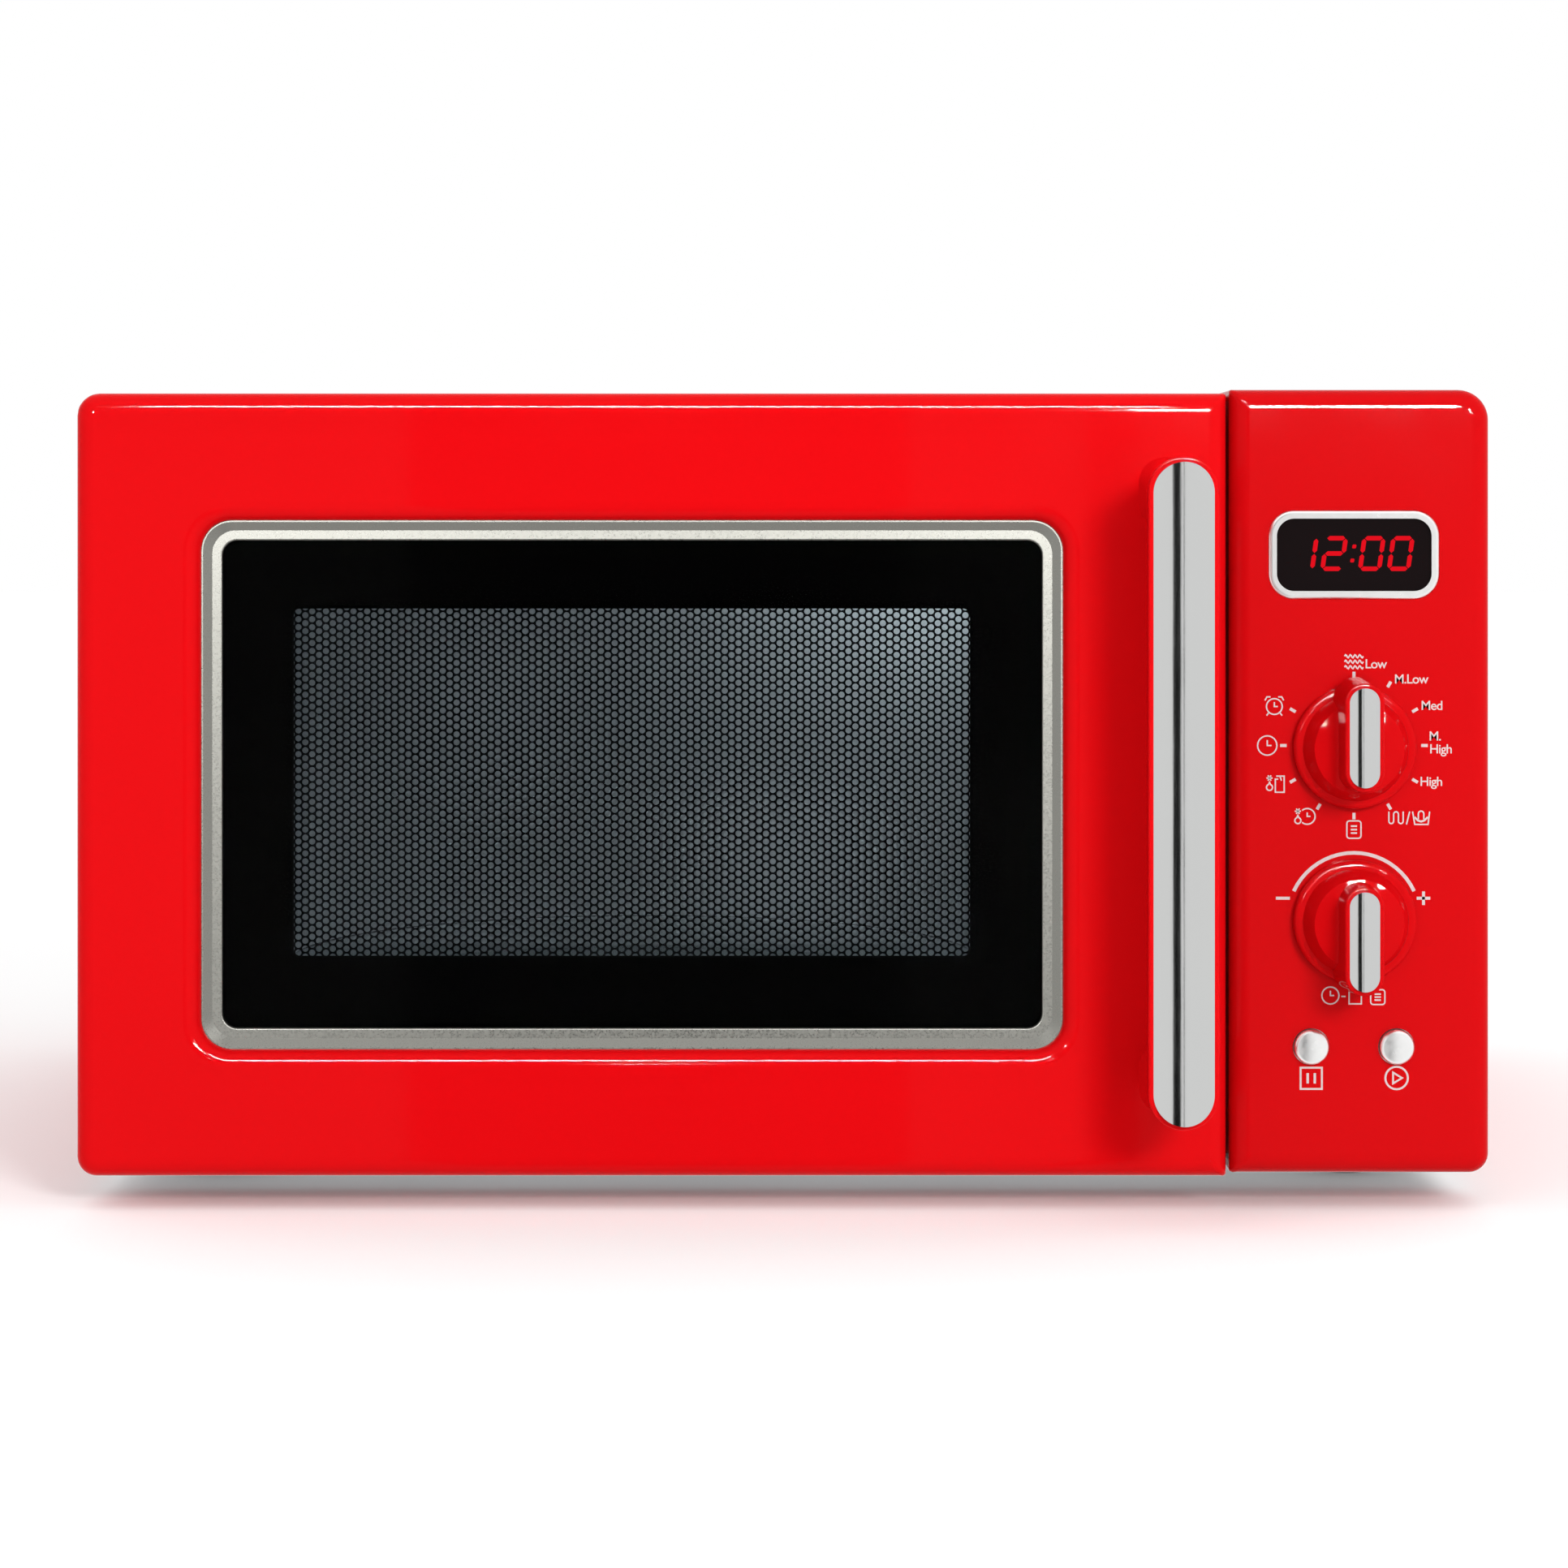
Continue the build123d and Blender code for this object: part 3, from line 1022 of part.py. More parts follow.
def make_door_handle():
    """Bar handle: a stadium-shaped bar on two legs whose feet flare into the door."""
    middle = (HANDLE_Z0 + HANDLE_Z1) / 2
    length = HANDLE_Z1 - HANDLE_Z0
    bar_front = -(HANDLE_REACH - CROWN)
    bar_back = bar_front + BAR_T
    with BuildPart() as door_handle:
        with BuildSketch(facing(bar_back)):
            with Locations((HANDLE_X, middle)):
                SlotOverall(length, HANDLE_W, rotation=90)
        extrude(amount=BAR_T)
        fillet(door_handle.faces().sort_by(Axis.Y)[-1].edges(), 3.0)
        for end, way in ((HANDLE_Z0, 1), (HANDLE_Z1, -1)):
            foot_z = end + way * LEG / 2
            with BuildSketch(facing(0.0)):
                with Locations((HANDLE_X, foot_z + way * 1.0)):
                    RectangleRounded(HANDLE_W - 1.0, LEG + 3.0, 8.0)
            with BuildSketch(facing(-5.0)):
                with Locations((HANDLE_X, foot_z + way * 1.5)):
                    RectangleRounded(HANDLE_W - 5.0, LEG - 2.0, 7.0)
            with BuildSketch(facing(bar_back - 3.0)):
                with Locations((HANDLE_X, foot_z + way * 1.5)):
                    RectangleRounded(HANDLE_W - 5.0, LEG - 2.0, 7.0)
            loft(ruled=True)
        with BuildSketch(facing(bar_front + INLAY_T)):
            with Locations((HANDLE_X, middle)):
                SlotOverall(length - 2 * HANDLE_RIM, HANDLE_W - 2 * HANDLE_RIM, rotation=90)
        extrude(amount=INLAY_T + 1, mode=Mode.SUBTRACT)
        fillet(door_handle.faces().sort_by(Axis.Y)[0].outer_wire().edges(), 0.6)
        for z in handle_screw_places():
            rod(HANDLE_X, z, SCREW_R, -22.0 + WALL + 4.0, 1.0, mode=Mode.SUBTRACT)
    write(door_handle.part, "door_handle")


def make_handle_trim():
    """Domed bright strip let into the handle's front."""
    middle = (HANDLE_Z0 + HANDLE_Z1) / 2
    width = HANDLE_W - 2 * HANDLE_RIM
    length = HANDLE_Z1 - HANDLE_Z0 - 2 * HANDLE_RIM
    with BuildPart() as handle_trim:
        domed_strip(HANDLE_X, middle, length, width, HANDLE_REACH - CROWN, CROWN)
    write(handle_trim.part, "handle_trim")


def make_latch_hooks():
    """Sliding latch bar inside the door, with two hooks that stand out of the door's back."""
    reach = DOOR_T + 22.0
    with BuildPart() as latch_hooks:
        slab(LATCH_X0, LATCH_X1, LATCH_Z0, LATCH_Z1, LATCH_Y, LATCH_Y + LATCH_T)
        for z in HOOK_Z:
            with BuildSketch(Plane.YZ.offset(HOOK_X0)):
                with BuildLine():
                    Polyline(
                        (Y_FRONT + LATCH_Y + LATCH_T, z), (Y_FRONT + reach - 6.0, z),
                        (Y_FRONT + reach - 6.0, z - HOOK_BARB), (Y_FRONT + reach, z + 2.0),
                        (Y_FRONT + reach, z + HOOK_H), (Y_FRONT + LATCH_Y + LATCH_T, z + HOOK_H),
                        close=True,
                    )
                make_face()
            extrude(amount=HOOK_X1 - HOOK_X0)
    write(latch_hooks.part, "latch_hooks")


def make_latch_spring():
    """Coil spring that draws the latch bar down."""
    wire, coil, turns = 0.45, 2.4, 6
    x, y = (LATCH_X0 + LATCH_X1) / 2, Y_FRONT + LATCH_Y + LATCH_T / 2
    length = LATCH_Z0 - SPRING_Z0 - 2 * wire
    with BuildPart() as latch_spring:
        with BuildLine(Plane.XY.offset(0)):
            Helix(pitch=length / turns, height=length, radius=coil, center=(x, y, SPRING_Z0 + wire))
        with BuildSketch(Plane(origin=(x + coil, y, SPRING_Z0 + wire), z_dir=(0, 1, 0))):
            Circle(wire)
        sweep(is_frenet=True)
    write(latch_spring.part, "latch_spring")


# ---------------------------------------------------------------- turntable
def make_turntable_coupler():
    """Three-lobed driver on the motor's spindle."""
    with BuildPart() as turntable_coupler:
        post(CAV_CX, CAV_CY, 9.0, COUPLER_Z0, COUPLER_Z0 + 9.0)
        for lobe in range(3):
            with BuildSketch(Plane.XY.offset(COUPLER_Z0)):
                with Locations(Location((CAV_CX, CAV_CY), 120 * lobe)):
                    with Locations((9.0, 0)):
                        SlotOverall(22.0, 8.0)
            extrude(amount=9.0)
        post(CAV_CX, CAV_CY, SPINDLE_R, CAV_Z0 - SHEET - 11.5, COUPLER_Z0)
    write(turntable_coupler.part, "turntable_coupler")


def make_glass_plate():
    """Turntable glass with a raised rim, and three drivers beneath that straddle the coupler's lobes."""
    base_r, thick = PLATE_R - 18.0, 4.0
    z = PLATE_Z0
    with BuildPart() as glass_plate:
        with BuildSketch(Plane(origin=(CAV_CX, CAV_CY, 0), x_dir=(1, 0, 0), z_dir=(0, -1, 0))):
            with BuildLine():
                Polyline((0, z), (base_r, z), (PLATE_R - 1.5, z + 11.0))
                RadiusArc((PLATE_R - 1.5, z + 11.0), (PLATE_R - 3.6, z + 14.0), -2.2)
                Polyline((PLATE_R - 3.6, z + 14.0), (base_r - 1.0, z + thick), (0, z + thick), (0, z))
            make_face()
        revolve(axis=Axis((CAV_CX, CAV_CY, 0), (0, 0, 1)))
        for lobe in range(3):
            turn = math.radians(120 * lobe + 60)
            post(CAV_CX + 14.0 * math.cos(turn), CAV_CY + 14.0 * math.sin(turn), 4.0, z - 5.0, z + 1.0)
    write(glass_plate.part, "glass_plate")


def make_roller_ring():
    """Moulded ring under the plate, with three stub axles for the rollers."""
    z = CAV_Z0 + ROLLER_PLAY + ROLLER_R
    with BuildPart() as roller_ring:
        with BuildSketch(Plane.XY.offset(z - 3.0)):
            with Locations((CAV_CX, CAV_CY)):
                Circle(RING_R + 4.0)
                Circle(RING_R - 4.0, mode=Mode.SUBTRACT)
        extrude(amount=6.0)
        fillet(roller_ring.edges().filter_by(GeomType.CIRCLE), 1.2)
        for roller in range(3):
            place = roller_axis(roller, RING_R + 3.0)
            with Locations(place):
                Cylinder(AXLE_R, 13.0, align=BASE)
    write(roller_ring.part, "roller_ring")


def roller_axis(roller, radius):
    """A place on a roller's axis, this far from the turntable's centre. Its z axis points outwards."""
    turn = math.radians(120 * roller + ROLLER_TURN)
    centre = Vector(CAV_CX, CAV_CY, CAV_Z0 + ROLLER_PLAY + ROLLER_R)
    outwards = Vector(math.cos(turn), math.sin(turn), 0)
    return Plane(origin=centre + outwards * radius, z_dir=outwards).location


def make_roller(roller):
    """One roller, which carries the plate on the cavity's floor."""
    with BuildPart() as wheel:
        with Locations(roller_axis(roller, RING_R + 5.5)):
            Cylinder(ROLLER_R, 7.0, align=BASE)
        fillet(wheel.edges().filter_by(GeomType.CIRCLE), 1.0)
        with Locations(roller_axis(roller, RING_R + 4.0)):
            Cylinder(AXLE_R + PIN_PLAY, 12.0, align=BASE, mode=Mode.SUBTRACT)
    write(wheel.part, f"roller_{roller + 1}")


# ---------------------------------------------------------------- the whole object
def main():
    os.makedirs("parts", exist_ok=True)
    make_cabinet_shell()
    make_rear_panel()
    make_base_plate()
    make_feet()
    make_front_plate()
    make_hinge_brackets()
    make_oven_cavity()
    make_grill_element()
    make_wall_spacers()
    make_case_screws()
    make_cord_bush()
    make_waveguide()
    make_waveguide_cover()
    make_magnetron()
    make_transformer()
    make_capacitor_and_diode()
    make_fan()
    make_oven_lamp()
    make_thermal_cutout()
    make_filter_board()
    make_interlock()
    make_turntable_motor()
    make_control_panel()
    make_display()
    make_control_board()
    for name, z, pointing in (("power", POWER_Z, 1), ("timer", TIMER_Z, -1)):
        make_encoder(f"{name}_encoder", z)
        make_knob(f"{name}_knob", z, pointing)
        make_shaft(f"{name}_shaft", z)
    for name, x in zip(("stop_button", "start_button"), button_places()):
        make_button(name, x)
    make_door_fascia()
    make_window_trim()
    make_door_glass()
    make_door_screen()
    make_choke_frame()
    make_choke_cover()
    make_inner_window()
    make_door_screws()
    make_door_handle()
    make_handle_trim()
    make_latch_hooks()
    make_latch_spring()
    make_turntable_coupler()
    make_glass_plate()
    make_roller_ring()
    for roller in range(3):
        make_roller(roller)


main()
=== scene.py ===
import json
import math

import bmesh
import bpy
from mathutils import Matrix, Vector


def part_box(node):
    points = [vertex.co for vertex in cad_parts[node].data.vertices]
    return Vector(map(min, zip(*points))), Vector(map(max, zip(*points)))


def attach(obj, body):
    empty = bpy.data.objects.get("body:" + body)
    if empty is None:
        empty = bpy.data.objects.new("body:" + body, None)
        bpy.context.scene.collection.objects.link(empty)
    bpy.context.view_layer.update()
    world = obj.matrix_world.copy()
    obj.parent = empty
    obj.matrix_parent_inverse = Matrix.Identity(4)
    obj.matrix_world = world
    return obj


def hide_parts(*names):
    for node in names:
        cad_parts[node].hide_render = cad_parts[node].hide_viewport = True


# Looks of the microwave oven, built round its CAD model. Metres, +Z up, the front faces -Y.
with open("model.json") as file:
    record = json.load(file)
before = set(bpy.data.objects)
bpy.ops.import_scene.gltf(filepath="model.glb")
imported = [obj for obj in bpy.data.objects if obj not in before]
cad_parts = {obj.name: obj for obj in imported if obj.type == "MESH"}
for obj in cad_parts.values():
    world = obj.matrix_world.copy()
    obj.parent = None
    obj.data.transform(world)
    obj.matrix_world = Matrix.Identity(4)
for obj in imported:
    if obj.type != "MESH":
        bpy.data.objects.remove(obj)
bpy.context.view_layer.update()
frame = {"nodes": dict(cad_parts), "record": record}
NODES = frame["nodes"]
MM = 0.001

# ---------------------------------------------------------------- places, read from the frame
FRONT_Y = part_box("control_panel")[0].y


def middle(node):
    """Centre of a CAD node's box."""
    low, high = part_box(node)
    return (low + high) / 2


POWER_AXIS = middle("power_shaft")
TIMER_AXIS = middle("timer_shaft")
DISPLAY = middle("display_lens")


# ---------------------------------------------------------------- materials
class Surface:
    """A procedural material on one Principled shader, in each piece's own coordinates."""

    def __init__(self, name, **sockets):
        self.material = bpy.data.materials.new(name)
        self.material.use_nodes = True
        self.tree = self.material.node_tree
        self.shader = next(n for n in self.tree.nodes if n.type == "BSDF_PRINCIPLED")
        self.place = self.tree.nodes.new("ShaderNodeTexCoord").outputs["Object"]
        for socket, value in sockets.items():
            self.shader.inputs[socket.replace("_", " ")].default_value = value

    def node(self, kind, **values):
        made = self.tree.nodes.new(kind)
        for key, value in values.items():
            setattr(made, key, value)
        return made

    def link(self, output, target):
        self.tree.links.new(output, target)

    def stretched(self, stretch):
        """The piece's coordinates, scaled along each axis."""
        mapping = self.node("ShaderNodeMapping")
        mapping.inputs["Scale"].default_value = stretch
        self.link(self.place, mapping.inputs["Vector"])
        return mapping.outputs["Vector"]

    def noise(self, scale, detail=2.0, roughness=0.5, stretch=(1, 1, 1)):
        """Noise with features of 1 / scale metres."""
        texture = self.node("ShaderNodeTexNoise")
        texture.inputs["Scale"].default_value = scale
        texture.inputs["Detail"].default_value = detail
        texture.inputs["Roughness"].default_value = roughness
        self.link(self.stretched(stretch), texture.inputs["Vector"])
        return texture.outputs["Fac"]

    def cells(self, scale):
        """Distance to the nearest of many scattered points."""
        texture = self.node("ShaderNodeTexVoronoi")
        texture.inputs["Scale"].default_value = scale
        self.link(self.place, texture.inputs["Vector"])
        return texture.outputs["Distance"]

    def spread(self, factor, low, high):
        """Maps the middle half of a 0 to 1 factor onto low to high."""
        mapped = self.node("ShaderNodeMapRange")
        mapped.inputs["From Min"].default_value = 0.25
        mapped.inputs["From Max"].default_value = 0.75
        mapped.inputs["To Min"].default_value = low
        mapped.inputs["To Max"].default_value = high
        self.link(factor, mapped.inputs["Value"])
        return mapped.outputs["Result"]

    def blend(self, factor, first, second):
        """Blends between two colours."""
        mix = self.node("ShaderNodeMix", data_type="RGBA")
        self.link(factor, mix.inputs["Factor"])
        for socket, colour in (("A", first), ("B", second)):
            target = next(i for i in mix.inputs if i.name == socket and i.type == "RGBA")
            target.default_value = (*colour, 1)
        return next(o for o in mix.outputs if o.type == "RGBA")

    def colour(self, factor, first, second):
        self.link(self.blend(factor, first, second), self.shader.inputs["Base Color"])

    def rough(self, factor, low, high):
        self.link(self.spread(factor, low, high), self.shader.inputs["Roughness"])

    def bump(self, factor, depth):
        """Relief of this depth in metres."""
        relief = self.node("ShaderNodeBump")
        relief.inputs["Distance"].default_value = depth
        relief.inputs["Strength"].default_value = 1.0
        self.link(factor, relief.inputs["Height"])
        self.link(relief.outputs["Normal"], self.shader.inputs["Normal"])


def shade(colour, by):
    """A colour made lighter or darker."""
    return tuple(min(1.0, max(0.0, c * by)) for c in colour)


def moulded(name, colour, roughness, grain=2600, depth=0.02, specular=0.5, vary=0.06):
    """A moulded or painted skin: slight tone drift, uneven gloss and a fine grain."""
    surface = Surface(name, Specular_IOR_Level=specular)
    drift = surface.noise(9, 3)
    surface.colour(drift, shade(colour, 1 - vary), shade(colour, 1 + vary))
    surface.rough(surface.noise(60, 3), roughness * 0.85, roughness * 1.2)
    surface.bump(surface.noise(grain, 2), depth * MM)
    return surface.material


def metal(name, colour, roughness, stretch=(1, 1, 1), grain=900, depth=0.004, vary=0.06):
    """Bare or plated metal, with a grain that may run along one axis."""
    surface = Surface(name, Metallic=1.0)
    fine = surface.noise(grain, 3, 0.6, stretch)
    surface.colour(surface.noise(14, 2), shade(colour, 1 - vary), shade(colour, 1 + vary))
    surface.rough(fine, roughness * 0.75, roughness * 1.3)
    surface.bump(fine, depth * MM)
    return surface.material


def red_gloss(name, colour):
    """High-gloss red: an even coat with a faint orange peel."""
    surface = Surface(name, Specular_IOR_Level=RED_SPECULAR)
    surface.colour(surface.noise(7, 2), shade(colour, 0.975), shade(colour, 1.025))
    surface.rough(surface.noise(40, 2), 0.03, 0.05)
    surface.bump(surface.noise(420, 2, 0.4), 0.002 * MM)
    return surface.material


def clear_glass(name, tint, ior):
    """Polished glass with a tint and faint smears."""
    surface = Surface(name, Transmission_Weight=1.0, IOR=ior)
    surface.colour(surface.noise(5, 2), shade(tint, 0.97), tint)
    surface.rough(surface.noise(18, 4), 0.012, 0.03)
    return surface.material


def glowing(name, colour, strength):
    """Lit segments, not quite even in brightness."""
    surface = Surface(name, Roughness=0.4, Specular_IOR_Level=0.02, Emission_Strength=strength)
    surface.colour(surface.noise(700, 1), shade(colour, 0.02), shade(colour, 0.04))
    tint = surface.blend(surface.noise(500, 1), shade(colour, 0.85), colour)
    surface.link(tint, surface.shader.inputs["Emission Color"])
    return surface.material


def laminated(name, colour):
    """Stacked steel laminations: dark lines across Y, a millimetre apart."""
    surface = Surface(name, Metallic=0.8)
    waves = surface.node("ShaderNodeTexWave", bands_direction="Y")
    waves.inputs["Scale"].default_value = 320
    waves.inputs["Distortion"].default_value = 0.4
    surface.link(surface.place, waves.inputs["Vector"])
    surface.colour(waves.outputs["Fac"], shade(colour, 0.5), colour)
    surface.rough(surface.noise(50, 3), 0.4, 0.6)
    surface.bump(waves.outputs["Fac"], 0.1 * MM)
    return surface.material


def wound(name, colour):
    """Enamelled wire, turn beside turn."""
    surface = Surface(name, Metallic=0.9)
    waves = surface.node("ShaderNodeTexWave", bands_direction="Z")
    waves.inputs["Scale"].default_value = 260
    waves.inputs["Distortion"].default_value = 0.8
    surface.link(surface.place, waves.inputs["Vector"])
    surface.colour(waves.outputs["Fac"], shade(colour, 0.35), colour)
    surface.rough(waves.outputs["Fac"], 0.25, 0.4)
    surface.bump(waves.outputs["Fac"], 0.3 * MM)
    return surface.material


def enamel(name, colour, roughness, specks):
    """Baked enamel with a few darker specks."""
    surface = Surface(name, Specular_IOR_Level=0.4)
    surface.colour(surface.spread(surface.cells(420), 0.0, 1.0), shade(colour, specks), colour)
    surface.rough(surface.noise(80, 3), roughness * 0.8, roughness * 1.25)
    surface.bump(surface.noise(300, 2), 0.02 * MM)
    return surface.material


RED_SPECULAR = 0.03
RED = (0.545, 0.0025, 0.0042)
PANEL_RED = (0.445, 0.0022, 0.0036)
MATERIALS = {
    "body_paint": moulded(
        "body_paint", (0.50, 0.0023, 0.004), 0.2, grain=900, depth=0.002, specular=0.07, vary=0.02
    ),
    "door_red": red_gloss("door_red", RED),
    "panel_red": red_gloss("panel_red", PANEL_RED),
    "satin_silver": metal("satin_silver", (0.235, 0.233, 0.212), 0.30, grain=1800, vary=0.02),
    "bright_chrome": metal("bright_chrome", (0.80, 0.81, 0.80), 0.09, grain=500, depth=0.001, vary=0.01),
    "tinted_glass": clear_glass("tinted_glass", (0.775, 0.815, 0.85), 1.06),
    "clear_glass": clear_glass("clear_glass", (0.93, 0.97, 0.96), 1.45),
    "display_lens": moulded(
        "display_lens", (0.0045, 0.0022, 0.0025), 0.06, grain=300, depth=0.001, specular=0.05
    ),
    "black_screen": moulded("black_screen", (0.002, 0.002, 0.0025), 0.45, specular=0.05),
    "zinc_steel": metal("zinc_steel", (0.60, 0.62, 0.63), 0.42, grain=350, vary=0.12),
    "frame_enamel": enamel("frame_enamel", (0.02, 0.02, 0.022), 0.35, 0.7),
    "cavity_enamel": enamel("cavity_enamel", (0.66, 0.69, 0.71), 0.38, 0.88),
    "black_plastic": moulded("black_plastic", (0.014, 0.014, 0.015), 0.42, depth=0.03, vary=0.15),
    "white_plastic": moulded("white_plastic", (0.74, 0.74, 0.71), 0.4),
    "bush_rubber": moulded("bush_rubber", (0.015, 0.015, 0.016), 0.65, grain=1500, depth=0.05),
    "mica": moulded("mica", (0.50, 0.45, 0.35), 0.35, grain=500, depth=0.05, vary=0.25),
    "heater_steel": metal("heater_steel", (0.17, 0.16, 0.15), 0.5, grain=700, vary=0.25),
    "magnetron_metal": metal("magnetron_metal", (0.64, 0.65, 0.66), 0.35, grain=500, vary=0.1),
    "core_steel": laminated("core_steel", (0.20, 0.20, 0.21)),
    "winding_copper": wound("winding_copper", (0.55, 0.20, 0.07)),
    "can_aluminium": metal("can_aluminium", (0.72, 0.73, 0.74), 0.3, stretch=(1, 1, 12), grain=400),
    "board_green": moulded("board_green", (0.02, 0.13, 0.05), 0.3, grain=900, depth=0.05, vary=0.2),
    "encoder_metal": metal("encoder_metal", (0.55, 0.55, 0.55), 0.35),
}


def printed(name):
    """Screen-printed white ink, thin enough for the red to show through."""
    surface = Surface(name, Roughness=0.35, Specular_IOR_Level=0.2)
    surface.colour(surface.noise(900, 2), (0.46, 0.37, 0.37), (0.56, 0.48, 0.47))
    surface.bump(surface.noise(4000, 2), 0.01 * MM)
    return surface.material


INK = printed("panel_ink")

# the strips of the grips and the handle are brushed, the buttons and the bezel are satin-bright
SATIN_BRIGHT = metal("polished_white", (0.92, 0.92, 0.91), 0.33, grain=500, depth=0.001, vary=0.01)
SATIN_BRIGHT_NODES = ("stop_button", "start_button", "display_bezel")
STRIP_CHROME = metal("strip_chrome", (0.60, 0.605, 0.60), 0.11, stretch=(1, 1, 0.02), grain=2500, vary=0.02)
STRIP_NODES = ("handle_trim", "power_knob_trim", "timer_knob_trim")


def paint_nodes():
    """Gives every CAD node its slot's material, or one of the two bright finishes."""
    slots = {s["node"]: s["material_slot"] for s in frame["record"]["subparts"]}
    finishes = dict.fromkeys(STRIP_NODES, STRIP_CHROME) | dict.fromkeys(SATIN_BRIGHT_NODES, SATIN_BRIGHT)
    for name, node in NODES.items():
        node.data.materials.clear()
        node.data.materials.append(finishes.get(name) or MATERIALS[slots[name]])


# ---------------------------------------------------------------- mesh helpers
def new_object(name, mesh_bm, material):
    """An object made of a bmesh, with one material."""
    mesh = bpy.data.meshes.new(name)
    mesh_bm.to_mesh(mesh)
    mesh_bm.free()
    mesh.materials.append(material)
    piece = bpy.data.objects.new(name, mesh)
    bpy.context.scene.collection.objects.link(piece)
    return piece


def finish_mesh(name, mesh_bm, material, body):
    """A new piece made of a bmesh, riding on a body."""
    bmesh.ops.recalc_face_normals(mesh_bm, faces=mesh_bm.faces)
    piece = new_object(name, mesh_bm, material)
    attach(piece, body)
    return piece


def rounded(x0, x1, z0, z1, radius, steps=6):
    """Corner points (x, z) of a rounded rectangle, anticlockwise from the lower left."""
    points = []
    corners = ((x0, z0, 180), (x1, z0, 270), (x1, z1, 0), (x0, z1, 90))
    for x, z, start in corners:
        cx = x + radius if x == x0 else x - radius
        cz = z + radius if z == z0 else z - radius
        for step in range(steps + 1):
            turn = math.radians(start + 90 * step / steps)
            points.append((cx + radius * math.cos(turn), cz + radius * math.sin(turn)))
    return points


def arc_points(cx, cz, radius, start, end, steps):
    """Points on an arc. Angles are in degrees, clockwise from the top."""
    turns = [math.radians(start + (end - start) * i / steps) for i in range(steps + 1)]
    return [(cx + radius * math.sin(t), cz + radius * math.cos(t)) for t in turns]


def add_strip(mesh_bm, left, right, closed, front, back):
    """A thin closed solid between two rows of points (x, z), from Y front to Y back."""
    ring = [
        [mesh_bm.verts.new((x, y, z)) for x, z in side]
        for side, y in ((left, front), (right, front), (right, back), (left, back))
    ]
    count = len(left)
    last = count if closed else count - 1
    for i in range(last):
        j = (i + 1) % count
        for side in range(4):
            a, b = ring[side], ring[(side + 1) % 4]
            mesh_bm.faces.new((a[i], a[j], b[j], b[i]))
    if not closed:
        for i in (0, count - 1):
            mesh_bm.faces.new([side[i] for side in ring])


def add_stroke(mesh_bm, points, width, front, back, closed=False):
    """A line of even width through points (x, z), mitred at its corners."""
    sharpest = 0.45            # keeps the mitre of a sharp corner short
    count = len(points)
    left, right = [], []
    for i, (x, z) in enumerate(points):
        before = points[i - 1] if i or closed else None
        after = points[(i + 1) % count] if i < count - 1 or closed else None
        ways = []
        if before:
            ways.append(Vector((x - before[0], z - before[1])).normalized())
        if after:
            ways.append(Vector((after[0] - x, after[1] - z)).normalized())
        normals = [Vector((-w.y, w.x)) for w in ways]
        mitre = sum(normals, Vector((0, 0)))
        mitre = mitre.normalized() if mitre.length > 1e-6 else normals[0]
        reach = width / 2 / max(sharpest, mitre.dot(normals[0]))
        left.append((x + mitre.x * reach, z + mitre.y * reach))
        right.append((x - mitre.x * reach, z - mitre.y * reach))
    add_strip(mesh_bm, left, right, closed, front, back)


def add_patch(mesh_bm, outline, front, back):
    """A thin closed solid with this outline (x, z)."""
    faces = [[mesh_bm.verts.new((x, y, z)) for x, z in outline] for y in (front, back)]
    mesh_bm.faces.new(faces[0])
    mesh_bm.faces.new(list(reversed(faces[1])))
    count = len(outline)
    for i in range(count):
        j = (i + 1) % count
        mesh_bm.faces.new((faces[0][i], faces[1][i], faces[1][j], faces[0][j]))


# ---------------------------------------------------------------- door: screen and printed border
SCREEN_MARGIN = 9.0 * MM       # from the sheet's edge to the clear view
SCREEN_RIM = 6.5 * MM          # from the sheet's edge to its perforated field
SCREEN_R = 2.0 * MM
VIEW_R = 2.5 * MM
PRINT_R = 9.0 * MM
PRINT_EDGE = 0.4 * MM          # left bare along the glass's edge
PRINT_NEAR, PRINT_FAR = 0.03 * MM, 0.12 * MM        # behind the glass
MARGIN_NEAR, MARGIN_FAR = 0.02 * MM, 0.15 * MM      # in front of the screen
HOLE_PITCH = 2.5 * MM
HOLE_R = 0.98 * MM
HOLE_SIDES = 12


